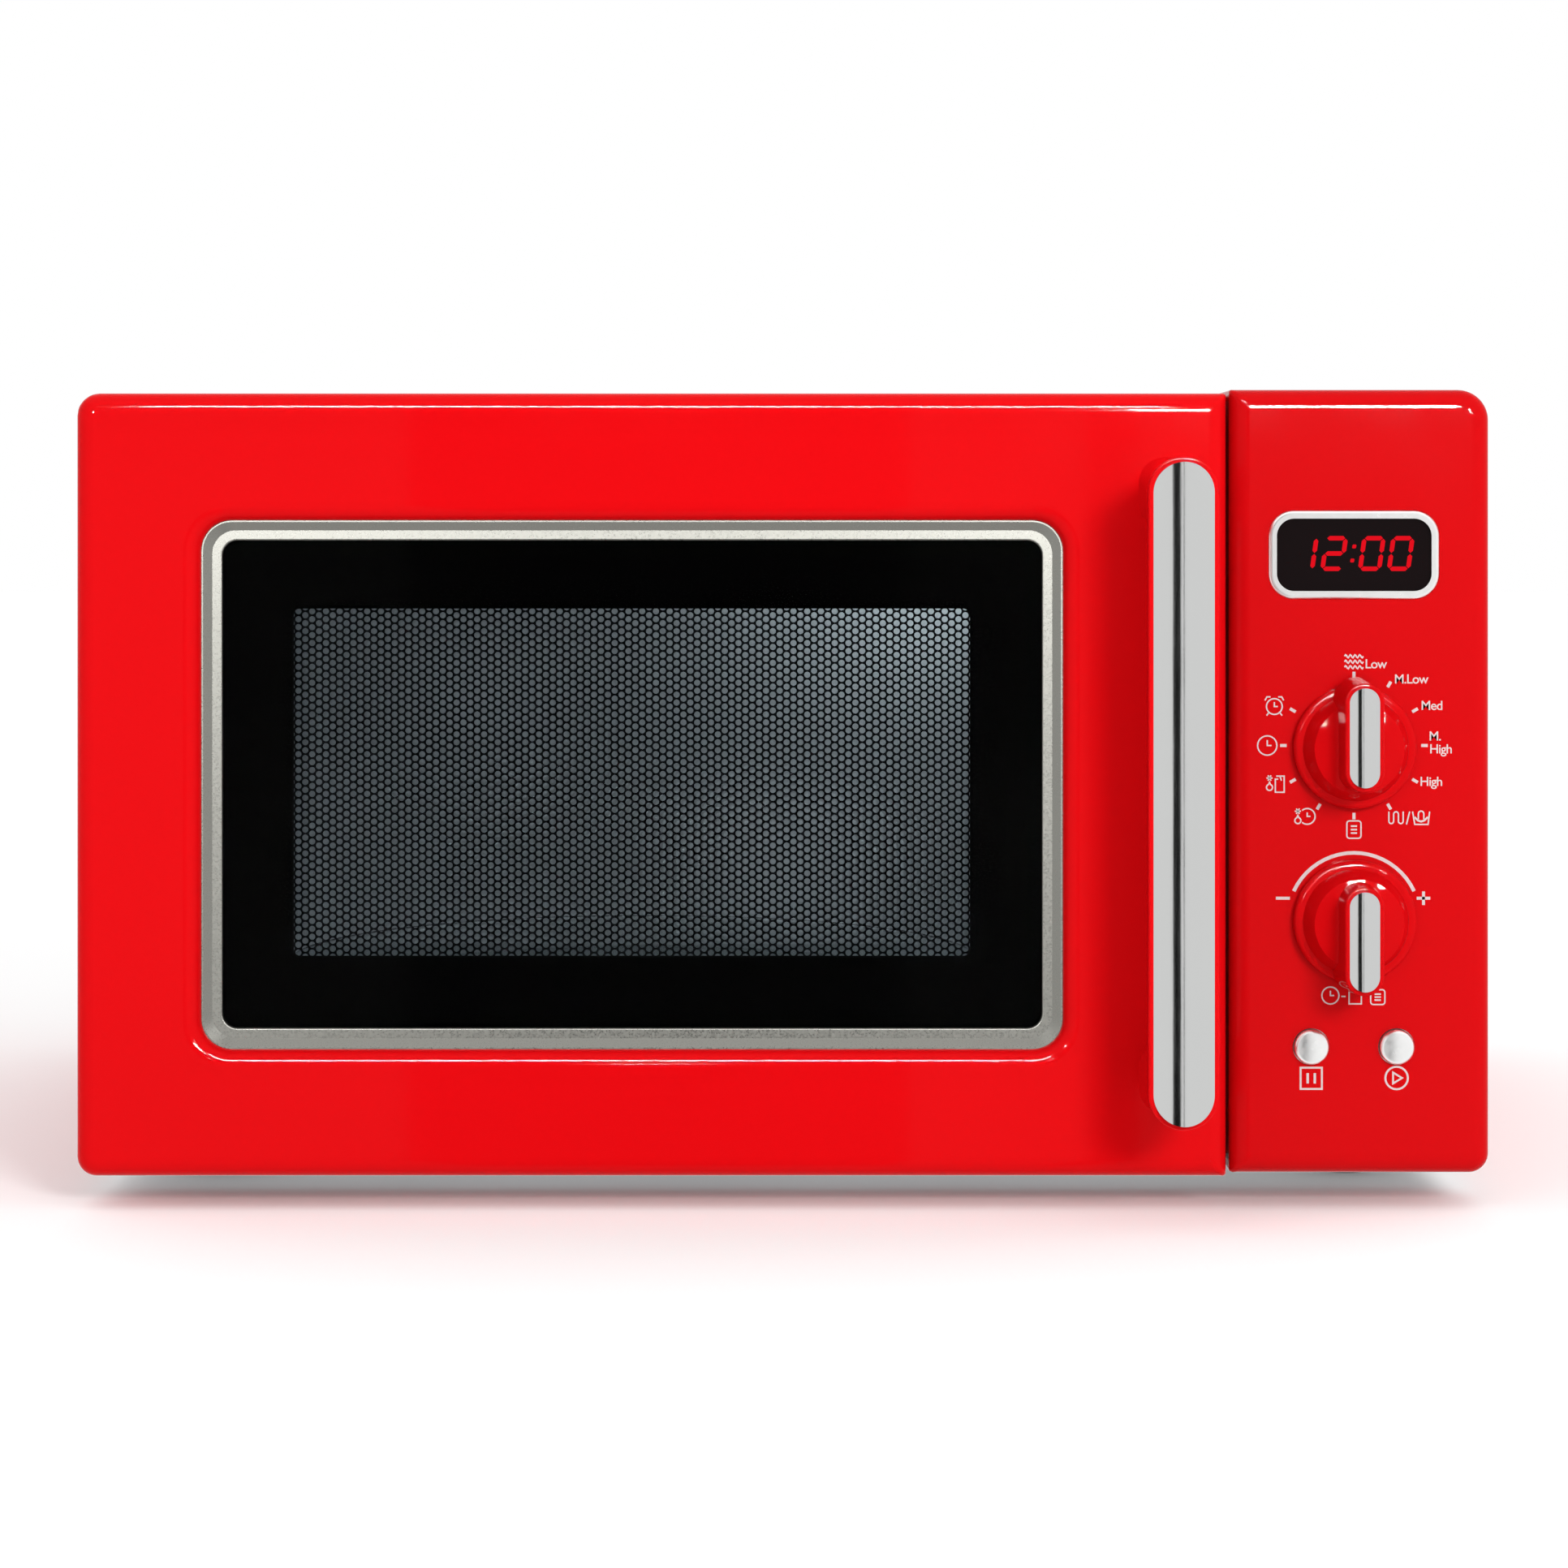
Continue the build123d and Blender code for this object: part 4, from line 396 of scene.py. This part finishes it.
def make_screen():
    """The perforated steel sheet: round holes in a honeycomb, within a plain margin."""
    low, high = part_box("door_screen")
    x0, x1 = low.x + SCREEN_RIM, high.x - SCREEN_RIM
    z0, z1 = low.z + SCREEN_RIM, high.z - SCREEN_RIM
    column_pitch = HOLE_PITCH * math.cos(math.radians(30))
    columns = int((x1 - x0) / column_pitch)
    rows = int((z1 - z0) / HOLE_PITCH)
    start_x = (x0 + x1) / 2 - (columns - 1) / 2 * column_pitch
    start_z = (z0 + z1) / 2 - (rows - 1) / 2 * HOLE_PITCH
    side = HOLE_PITCH / math.sqrt(3)
    mesh_bm = bmesh.new()
    corners = {}

    def corner(x, z):
        """The vertex that neighbouring holes share here."""
        key = (round(x / MM, 2), round(z / MM, 2))
        if key not in corners:
            corners[key] = mesh_bm.verts.new((x, low.y, z))
        return corners[key]

    for column in range(columns):
        lift = HOLE_PITCH / 2 if column % 2 else 0.0
        for row in range(rows - column % 2):
            cx, cz = start_x + column * column_pitch, start_z + row * HOLE_PITCH + lift
            outer, inner = [], []
            for step in range(HOLE_SIDES):
                turn = 2 * math.pi * step / HOLE_SIDES
                reach = side if step % 2 == 0 else HOLE_PITCH / 2
                outer.append(corner(cx + reach * math.cos(turn), cz + reach * math.sin(turn)))
                at = (cx + HOLE_R * math.cos(turn), low.y, cz + HOLE_R * math.sin(turn))
                inner.append(mesh_bm.verts.new(at))
            for i in range(HOLE_SIDES):
                j = (i + 1) % HOLE_SIDES
                mesh_bm.faces.new((outer[i], outer[j], inner[j], inner[i]))
    screen = finish_mesh("perforated_screen", mesh_bm, MATERIALS["black_screen"], "door")
    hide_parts("door_screen")


def make_screen_margin():
    """The unperforated edge of the screen, round the honeycomb."""
    low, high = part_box("door_screen")
    width = SCREEN_RIM + HOLE_PITCH
    outer = rounded(low.x, high.x, low.z, high.z, SCREEN_R)
    inner = rounded(low.x + width, high.x - width, low.z + width, high.z - width, SCREEN_R)
    mesh_bm = bmesh.new()
    add_strip(mesh_bm, outer, inner, True, low.y - MARGIN_FAR, low.y - MARGIN_NEAR)
    finish_mesh("screen_margin", mesh_bm, MATERIALS["black_screen"], "door")


def make_glass_print():
    """Black ceramic print behind the glass, round the clear view."""
    glass_low, glass_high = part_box("door_glass")
    low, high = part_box("door_screen")
    edge, inset = PRINT_EDGE, SCREEN_MARGIN
    mesh_bm = bmesh.new()
    outer = rounded(glass_low.x + edge, glass_high.x - edge, glass_low.z + edge, glass_high.z - edge, PRINT_R)
    inner = rounded(low.x + inset, high.x - inset, low.z + inset, high.z - inset, VIEW_R)
    add_strip(mesh_bm, outer, inner, True, glass_high.y + PRINT_NEAR, glass_high.y + PRINT_FAR)
    surface = Surface("glass_print", Specular_IOR_Level=0.0)
    surface.colour(surface.noise(30, 2), (0.0002, 0.0002, 0.0002), (0.0005, 0.0005, 0.0004))
    surface.rough(surface.noise(200, 2), 0.5, 0.7)
    finish_mesh("glass_print", mesh_bm, surface.material, "door")


# ---------------------------------------------------------------- control panel: prints and digits
PRINT_LIFT = 0.5 * MM          # all print sits this much above the shafts' axes
INK_FRONT = FRONT_Y - 0.06 * MM
INK_BACK = FRONT_Y + 0.02 * MM
INK_W = 0.42 * MM
DIAL_STEP = 30                 # degrees
DIAL_MARKS = 11
MARK_INNER, MARK_OUTER = 20.9, 22.9
MARK_W = 0.95 * MM
TIMER_ARC_R, TIMER_ARC_HALF = 20.6, 65
WORD_SIZE = 4.05 * MM


class Print:
    """Strokes printed on the panel. Their points are in millimetres from a centre."""

    def __init__(self):
        self.mesh_bm = bmesh.new()
        self.centre = (0.0, 0.0)

    def at(self, x, z):
        """Moves the centre, which is in metres."""
        self.centre = (x, z)

    def place(self, points):
        """Points in metres on the panel."""
        return [(self.centre[0] + x * MM, self.centre[1] + z * MM + PRINT_LIFT) for x, z in points]

    def line(self, *points, width=INK_W, closed=False):
        add_stroke(self.mesh_bm, self.place(points), width, INK_FRONT, INK_BACK, closed)

    def ring(self, x, z, radius, width=INK_W):
        self.line(*arc_points(x, z, radius, 0, 345, 23), width=width, closed=True)

    def arc(self, x, z, radius, start, end, width=INK_W):
        self.line(*arc_points(x, z, radius, start, end, 20), width=width)


def clock_symbol(ink, x, z, size):
    """A clock of this width, for the time."""
    ink.at(x, z)
    ink.ring(0, 0, size / 2)
    ink.line((0, size * 0.28), (0, 0), (size * 0.22, 0.0))


def alarm_symbol(ink, x, z):
    """A clock with bells and feet, for the alarm."""
    clock_symbol(ink, x, z, 4.9)
    for side in (-1, 1):
        ink.line((side * 1.2, 3.0), (side * 2.3, 3.0), (side * 2.9, 1.9))
        ink.line((side * 1.8, -2.0), (side * 2.4, -2.8))


def frost_symbol(ink, x, z):
    """A flake over a drop, for defrosting."""
    ink.at(x, z)
    for turn in (0, 60, 120):
        dx, dz = 0.95 * math.cos(math.radians(turn)), 0.95 * math.sin(math.radians(turn))
        ink.line((-dx, 1.8 - dz), (dx, 1.8 + dz))
    ink.line(*arc_points(0, -1.1, 0.95, 20, 340, 12), (0, 0.5), closed=True)


def frost_clock_symbol(ink, x, z):
    """A flake over a drop in front of a clock, for defrosting by time."""
    frost_symbol(ink, x, z)
    ink.at(x + 2.9 * MM, z + 0.2 * MM)
    ink.arc(0, 0, 2.45, -40, 220)
    ink.line((0, 1.2), (0, 0), (1.0, 0))


def menu_symbol(ink, x, z, width, height):
    """A page of text, for the menus."""
    ink.at(x, z)
    ink.line(*rounded(-width / 2, width / 2, -height / 2, height / 2, 0.8, 3), closed=True)
    for row in (-1, 0, 1):
        ink.line((-width * 0.22, row * height * 0.2), (width * 0.22, row * height * 0.2), width=INK_W * 1.2)


def wave_symbol(ink, x, z):
    """Three waves, for the microwave power."""
    ink.at(x, z)
    for row in (-1.7, 0.0, 1.7):
        ink.line(*[(-2.9 + 0.29 * i, row + 0.48 * math.sin(i * math.pi / 2.5)) for i in range(21)])


def grill_symbol(ink, x, z):
    """A heater coil, a stroke, and a dish of food, for the grill and the combined mode."""
    ink.at(x, z)
    pitch, bend, first = 1.48, 0.74, -5.11
    coil = [(first - bend, 1.9)]
    for turn in range(3):
        if turn % 2:
            coil += arc_points(first + turn * pitch, 1.1, bend, -90, 90, 6)
        else:
            coil += arc_points(first + turn * pitch, -1.1, bend, 270, 90, 6)
    ink.line(*coil, (first + 2 * pitch + bend, 1.9))
    ink.line((-0.4, -2.1), (0.6, 1.9))
    ink.line((1.5, 1.9), (2.2, -2.1), (6.3, -2.1), (6.8, 1.9))
    ink.line((2.1, 0.2), (3.2, -0.9), (4.15, -1.2), (5.1, -0.9), (6.3, 0.2), width=INK_W * 1.4)
    ink.line((3.3, -0.5), *arc_points(4.15, 1.2, 0.85, -90, 90, 8), (5.0, -0.5))


def container_symbol(ink, x, z):
    """An open box with its lid up, for defrosting by weight."""
    ink.at(x, z)
    ink.line((-0.5, 1.55), (-1.4, 1.55), (-1.4, -2.5), (1.35, -2.5), (1.35, 2.5), (-1.1, 2.5))
    ink.line((0.1, 2.4), (0.5, 1.1))


def make_symbols():
    """Dial marks and symbols, printed on the panel."""
    ink = Print()
    for mark in range(DIAL_MARKS):
        turn = math.radians(mark * DIAL_STEP)
        ink.at(POWER_AXIS.x, POWER_AXIS.z)
        ends = [(r * math.sin(turn), r * math.cos(turn)) for r in (MARK_INNER, MARK_OUTER)]
        ink.line(*ends, width=MARK_W)
    x, z = POWER_AXIS.x, POWER_AXIS.z
    wave_symbol(ink, x, z + 26.0 * MM)
    grill_symbol(ink, x + 16.7 * MM, z - 22.4 * MM)
    menu_symbol(ink, x, z - 26.1 * MM, 4.4, 5.4)
    frost_clock_symbol(ink, x - 17.4 * MM, z - 22.2 * MM)
    frost_symbol(ink, x - 26.2 * MM, z - 11.9 * MM)
    container_symbol(ink, x - 23.0 * MM, z - 12.0 * MM)
    clock_symbol(ink, x - 26.9 * MM, z, 6.0)
    alarm_symbol(ink, x - 24.7 * MM, z + 12.1 * MM)

    x, z = TIMER_AXIS.x, TIMER_AXIS.z
    ink.at(x, z)
    ink.arc(0, 0, TIMER_ARC_R, -TIMER_ARC_HALF, TIMER_ARC_HALF, width=1.1 * MM)
    ink.line((-24.2, 6.5), (-19.9, 6.5), width=0.9 * MM)
    ink.line((19.5, 6.5), (23.7, 6.5), width=0.9 * MM)
    ink.line((21.6, 4.4), (21.6, 8.6), width=0.9 * MM)
    clock_symbol(ink, x - 7.3 * MM, z - 23.7 * MM, 5.3)
    ink.at(x, z - 24.3 * MM)
    ink.line((-3.9, 0.3), (-2.6, 0.3))
    ink.line((-1.5, 2.3), (-1.5, -2.0), (2.3, -2.0), (2.3, 2.3))
    menu_symbol(ink, x + 7.4 * MM, z - 24.2 * MM, 4.4, 4.6)

    button_z = middle("stop_button").z
    ink.at(middle("stop_button").x, button_z - 10.3 * MM)
    ink.line((-3.3, -3.3), (3.3, -3.3), (3.3, 3.3), (-3.3, 3.3), width=0.6 * MM, closed=True)
    for side in (-1.1, 1.1):
        ink.line((side, -1.6), (side, 1.6), width=0.75 * MM)
    ink.at(middle("start_button").x, button_z - 10.2 * MM)
    ink.ring(0, 0, 3.5, width=0.6 * MM)
    ink.line((-1.1, -1.7), (1.7, 0), (-1.1, 1.7), width=0.55 * MM, closed=True)
    finish_mesh("panel_symbols", ink.mesh_bm, INK, "cabinet")


def make_words():
    """The power levels' names round the upper dial."""
    words = (
        ("Low", 6.8, 25.2), ("M.Low", 17.8, 20.5), ("Med", 24.2, 12.3),
        ("M.", 25.2, 2.8), ("High", 27.0, -1.2), ("High", 24.0, -11.3),
    )
    for number, (word, x, z) in enumerate(words):
        curve = bpy.data.curves.new(f"word_{number}", "FONT")
        curve.body = word
        curve.size = WORD_SIZE
        curve.extrude = 0.03 * MM
        curve.offset = 0.035 * MM
        curve.align_x = "CENTER"
        curve.align_y = "CENTER"
        curve.space_character = 0.93
        curve.materials.append(INK)
        writing = bpy.data.objects.new(f"word_{number}_{word.replace('.', '')}", curve)
        writing.location = (POWER_AXIS.x + x * MM, FRONT_Y - 0.02 * MM, POWER_AXIS.z + z * MM + PRINT_LIFT)
        writing.rotation_euler = (math.radians(90), 0, 0)
        bpy.context.scene.collection.objects.link(writing)
        bpy.context.view_layer.update()
        mesh = bpy.data.meshes.new_from_object(writing.evaluated_get(bpy.context.evaluated_depsgraph_get()))
        mesh.transform(writing.matrix_world)
        name = writing.name
        bpy.data.objects.remove(writing)
        piece = bpy.data.objects.new(name, mesh)
        bpy.context.scene.collection.objects.link(piece)
        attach(piece, "cabinet")


DIGIT_W, DIGIT_H, DIGIT_STROKE = 7.3, 10.9, 1.4     # millimetres
DIGIT_SLANT = math.tan(math.radians(8))
DIGIT_FRONT, DIGIT_BACK = 0.08 * MM, 0.02 * MM      # in front of the lens
DOT_HALF, DOT_R = 0.6, 0.3
SEGMENTS = {"0": "abcdef", "1": "bc", "2": "abged"}


def segment_outline(name):
    """A six-sided bar of a seven-segment digit, in millimetres from the digit's lower left."""
    s, gap = DIGIT_STROKE / 2, 0.16
    w, h = DIGIT_W - 2 * s, DIGIT_H - 2 * s
    ends = {
        "a": ((0, h), (w, h)),
        "b": ((w, h / 2), (w, h)),
        "c": ((w, 0), (w, h / 2)),
        "d": ((0, 0), (w, 0)),
        "e": ((0, 0), (0, h / 2)),
        "f": ((0, h / 2), (0, h)),
        "g": ((0, h / 2), (w, h / 2)),
    }[name]
    a, b = (Vector(e) + Vector((s, s)) for e in ends)
    way = (b - a).normalized()
    across = Vector((-way.y, way.x)) * s
    a, b = a + way * gap, b - way * gap
    return [a, a + way * s - across, b - way * s - across, b, b - way * s + across, a + way * s + across]


def make_digits():
    """Lit seven-segment figures on the display."""
    lens_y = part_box("display_lens")[0].y
    mesh_bm = bmesh.new()
    base = Vector((DISPLAY.x + 1.9 * MM, DISPLAY.z + 0.4 * MM))
    starts = (("1", -20.7), ("2", -11.6), ("0", 0.1), ("0", 9.1))

    def add_lit(points, start):
        """A lit patch, slanted like the digits. Points in millimetres from their lower left."""
        outline = []
        for x, z in points:
            up = z - DIGIT_H / 2
            outline.append((base.x + (start + x + up * DIGIT_SLANT) * MM, base.y + up * MM))
        add_patch(mesh_bm, outline, lens_y - DIGIT_FRONT, lens_y - DIGIT_BACK)

    for digit, start in starts:
        for name in SEGMENTS[digit]:
            add_lit(segment_outline(name), start)
    for height in (0.3, 0.7):
        dot = rounded(-DOT_HALF, DOT_HALF, -DOT_HALF, DOT_HALF, DOT_R, 3)
        add_lit([(x, z + DIGIT_H * height) for x, z in dot], -2.0)
    glow = glowing("lit_segments", (0.80, 0.004, 0.012), 1.0)
    finish_mesh("clock_digits", mesh_bm, glow, "cabinet")


# ---------------------------------------------------------------- stage, light and camera
FLOOR_HALF = 9.0
CARD_Y, CARD_HALF_H, CARD_T = -1.6, 1.5, 0.01
SOFTBOX_Y = -1.76
HORIZON_LIGHT, ZENITH_LIGHT = 1.0, 1.3
KEY_AT, KEY_TARGET = (0.72, -1.75, 0.80), (0, FRONT_Y, 0.13)
KEY_SIZE, KEY_POWER = (0.5, 0.4), 21
OVEN_LAMP_SIZE, OVEN_LAMP_POWER = (0.03, 0.03), 0.085
OVEN_LAMP_COLOUR = (0.96, 0.98, 1.0)
CAMERA_X, CAMERA_Z = 0.0004, 0.2152
CAMERA_D = 1.0938              # from the front face
SENSOR = 36.0
VIEW_W = 0.4894                # the picture's width where the front's outline lies
VIEW_D = 1.0998                # and that outline's distance
PICTURE_Z = 0.1321             # height of the picture's middle


def make_camera():
    """A level camera in front of the oven. The shift keeps its uprights upright."""
    camera = bpy.data.objects.new("camera", bpy.data.cameras.new("camera"))
    camera.data.sensor_width = SENSOR
    camera.data.lens = SENSOR * VIEW_D / VIEW_W
    camera.data.shift_y = (PICTURE_Z - CAMERA_Z) / VIEW_W
    camera.location = (CAMERA_X, FRONT_Y - CAMERA_D, CAMERA_Z)
    camera.rotation_euler = (math.radians(90), 0, 0)
    bpy.context.scene.collection.objects.link(camera)
    bpy.context.scene.camera = camera


def make_floor():
    """A plain pale floor."""
    mesh_bm = bmesh.new()
    bmesh.ops.create_grid(mesh_bm, x_segments=1, y_segments=1, size=FLOOR_HALF)
    surface = Surface("floor_paper", Roughness=0.9, Specular_IOR_Level=0.1)
    surface.colour(surface.noise(3, 2), (0.86, 0.86, 0.86), (0.88, 0.88, 0.88))
    floor = new_object("floor", mesh_bm, surface.material)
    floor.visible_glossy = False


def make_card(name, x0, x1):
    """A dark upright card in front that only reflections show."""
    sides = [[(x, -CARD_HALF_H), (x, CARD_HALF_H)] for x in (x0, x1)]
    mesh_bm = bmesh.new()
    add_strip(mesh_bm, *sides, False, CARD_Y - CARD_T, CARD_Y)
    surface = Surface(name, Roughness=1.0, Specular_IOR_Level=0.0)
    surface.colour(surface.noise(2, 2), (0.004, 0.004, 0.004), (0.010, 0.010, 0.010))
    card = new_object(name, mesh_bm, surface.material)
    for ray in ("camera", "diffuse", "transmission", "volume_scatter", "shadow"):
        setattr(card, f"visible_{ray}", False)


def area_light(name, place, target, size, power, colour=(1, 1, 1)):
    """A rectangular light that faces a target."""
    light = bpy.data.lights.new(name, "AREA")
    light.shape = "RECTANGLE"
    light.size, light.size_y = size
    light.energy = power
    light.color = colour
    lamp = bpy.data.objects.new(name, light)
    lamp.location = place
    lamp.rotation_euler = (Vector(place) - Vector(target)).to_track_quat("Z", "Y").to_euler()
    lamp.visible_camera = False
    bpy.context.scene.collection.objects.link(lamp)
    return lamp


def make_world():
    """Even white surroundings, a little brighter overhead."""
    world = bpy.data.worlds.new("studio")
    world.use_nodes = True
    tree = world.node_tree
    background = next(n for n in tree.nodes if n.type == "BACKGROUND")
    place = tree.nodes.new("ShaderNodeTexCoord")
    split = tree.nodes.new("ShaderNodeSeparateXYZ")
    ramp = tree.nodes.new("ShaderNodeMapRange")
    ramp.inputs["From Min"].default_value = 0.35
    ramp.inputs["From Max"].default_value = 0.9
    ramp.inputs["To Min"].default_value = HORIZON_LIGHT
    ramp.inputs["To Max"].default_value = ZENITH_LIGHT
    tree.links.new(place.outputs["Generated"], split.inputs["Vector"])
    tree.links.new(split.outputs["Z"], ramp.inputs["Value"])
    tree.links.new(ramp.outputs["Result"], background.inputs["Strength"])
    background.inputs["Color"].default_value = (1, 1, 1, 1)
    bpy.context.scene.world = world


def gloss_light(name, x, y, z, radiance, nodes):
    """A softbox that only these nodes' gloss shows. x and z are its spans, facing +Y at y."""
    size = (x[1] - x[0], z[1] - z[0])
    place = Vector(((x[0] + x[1]) / 2, y, (z[0] + z[1]) / 2))
    power = radiance * math.pi * size[0] * size[1]
    lamp = area_light(name, place, place + Vector((0, 1, 0)), size, power)
    lamp.visible_diffuse = False
    lamp.visible_transmission = False
    lamp.light_linking.receiver_collection = bpy.data.collections.new(name)
    for node in nodes:
        lamp.light_linking.receiver_collection.objects.link(NODES[node])


GLOSSY_RED = ("door_fascia", "control_panel", "door_handle", "power_knob", "timer_knob")
SOFTBOXES = (  # name, x span, y, z span, radiance, nodes
    ("edge_right", (0.25, 0.53), SOFTBOX_Y, (0.33, 0.80), 850, GLOSSY_RED),
    ("edge_middle", (-0.135, -0.065), SOFTBOX_Y, (0.40, 0.50), 1500, GLOSSY_RED),
    ("corner_left", (-0.84, -0.70), SOFTBOX_Y, (0.46, 0.62), 1400, GLOSSY_RED),
    ("corner_right", (0.74, 0.86), SOFTBOX_Y, (0.46, 0.62), 1000, GLOSSY_RED),
    ("lip_low", (-0.45, 0.27), -1.30, (0.86, 1.12), 480, GLOSSY_RED),
    ("trim_top", (-0.7, 0.7), SOFTBOX_Y, (0.36, 0.60), 24, ("window_trim",)),
)


def make_lights():
    """A soft key light, softboxes for the gloss of the rounded edges, and the oven's own lamp."""
    key = area_light("key", KEY_AT, KEY_TARGET, KEY_SIZE, KEY_POWER)
    key.visible_glossy = False
    for softbox in SOFTBOXES:
        gloss_light(*softbox)
    low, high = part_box("oven_cavity")
    bulb = middle("oven_lamp")
    lamp_at = (high.x - 12 * MM, bulb.y, bulb.z)
    far_corner = (low.x, high.y, high.z - 40 * MM)
    area_light("oven_lamp_light", lamp_at, far_corner, OVEN_LAMP_SIZE, OVEN_LAMP_POWER, OVEN_LAMP_COLOUR)


# ---------------------------------------------------------------- the scene
make_camera()
make_floor()
make_card("dark_card", -0.27, 0.09)
make_card("thin_card", 0.22, 0.255)
make_world()
make_lights()
paint_nodes()
make_screen()
make_screen_margin()
make_glass_print()
make_symbols()
make_words()
make_digits()

view_settings = bpy.context.scene.view_settings
view_settings.view_transform = "Standard"
view_settings.look = "None"
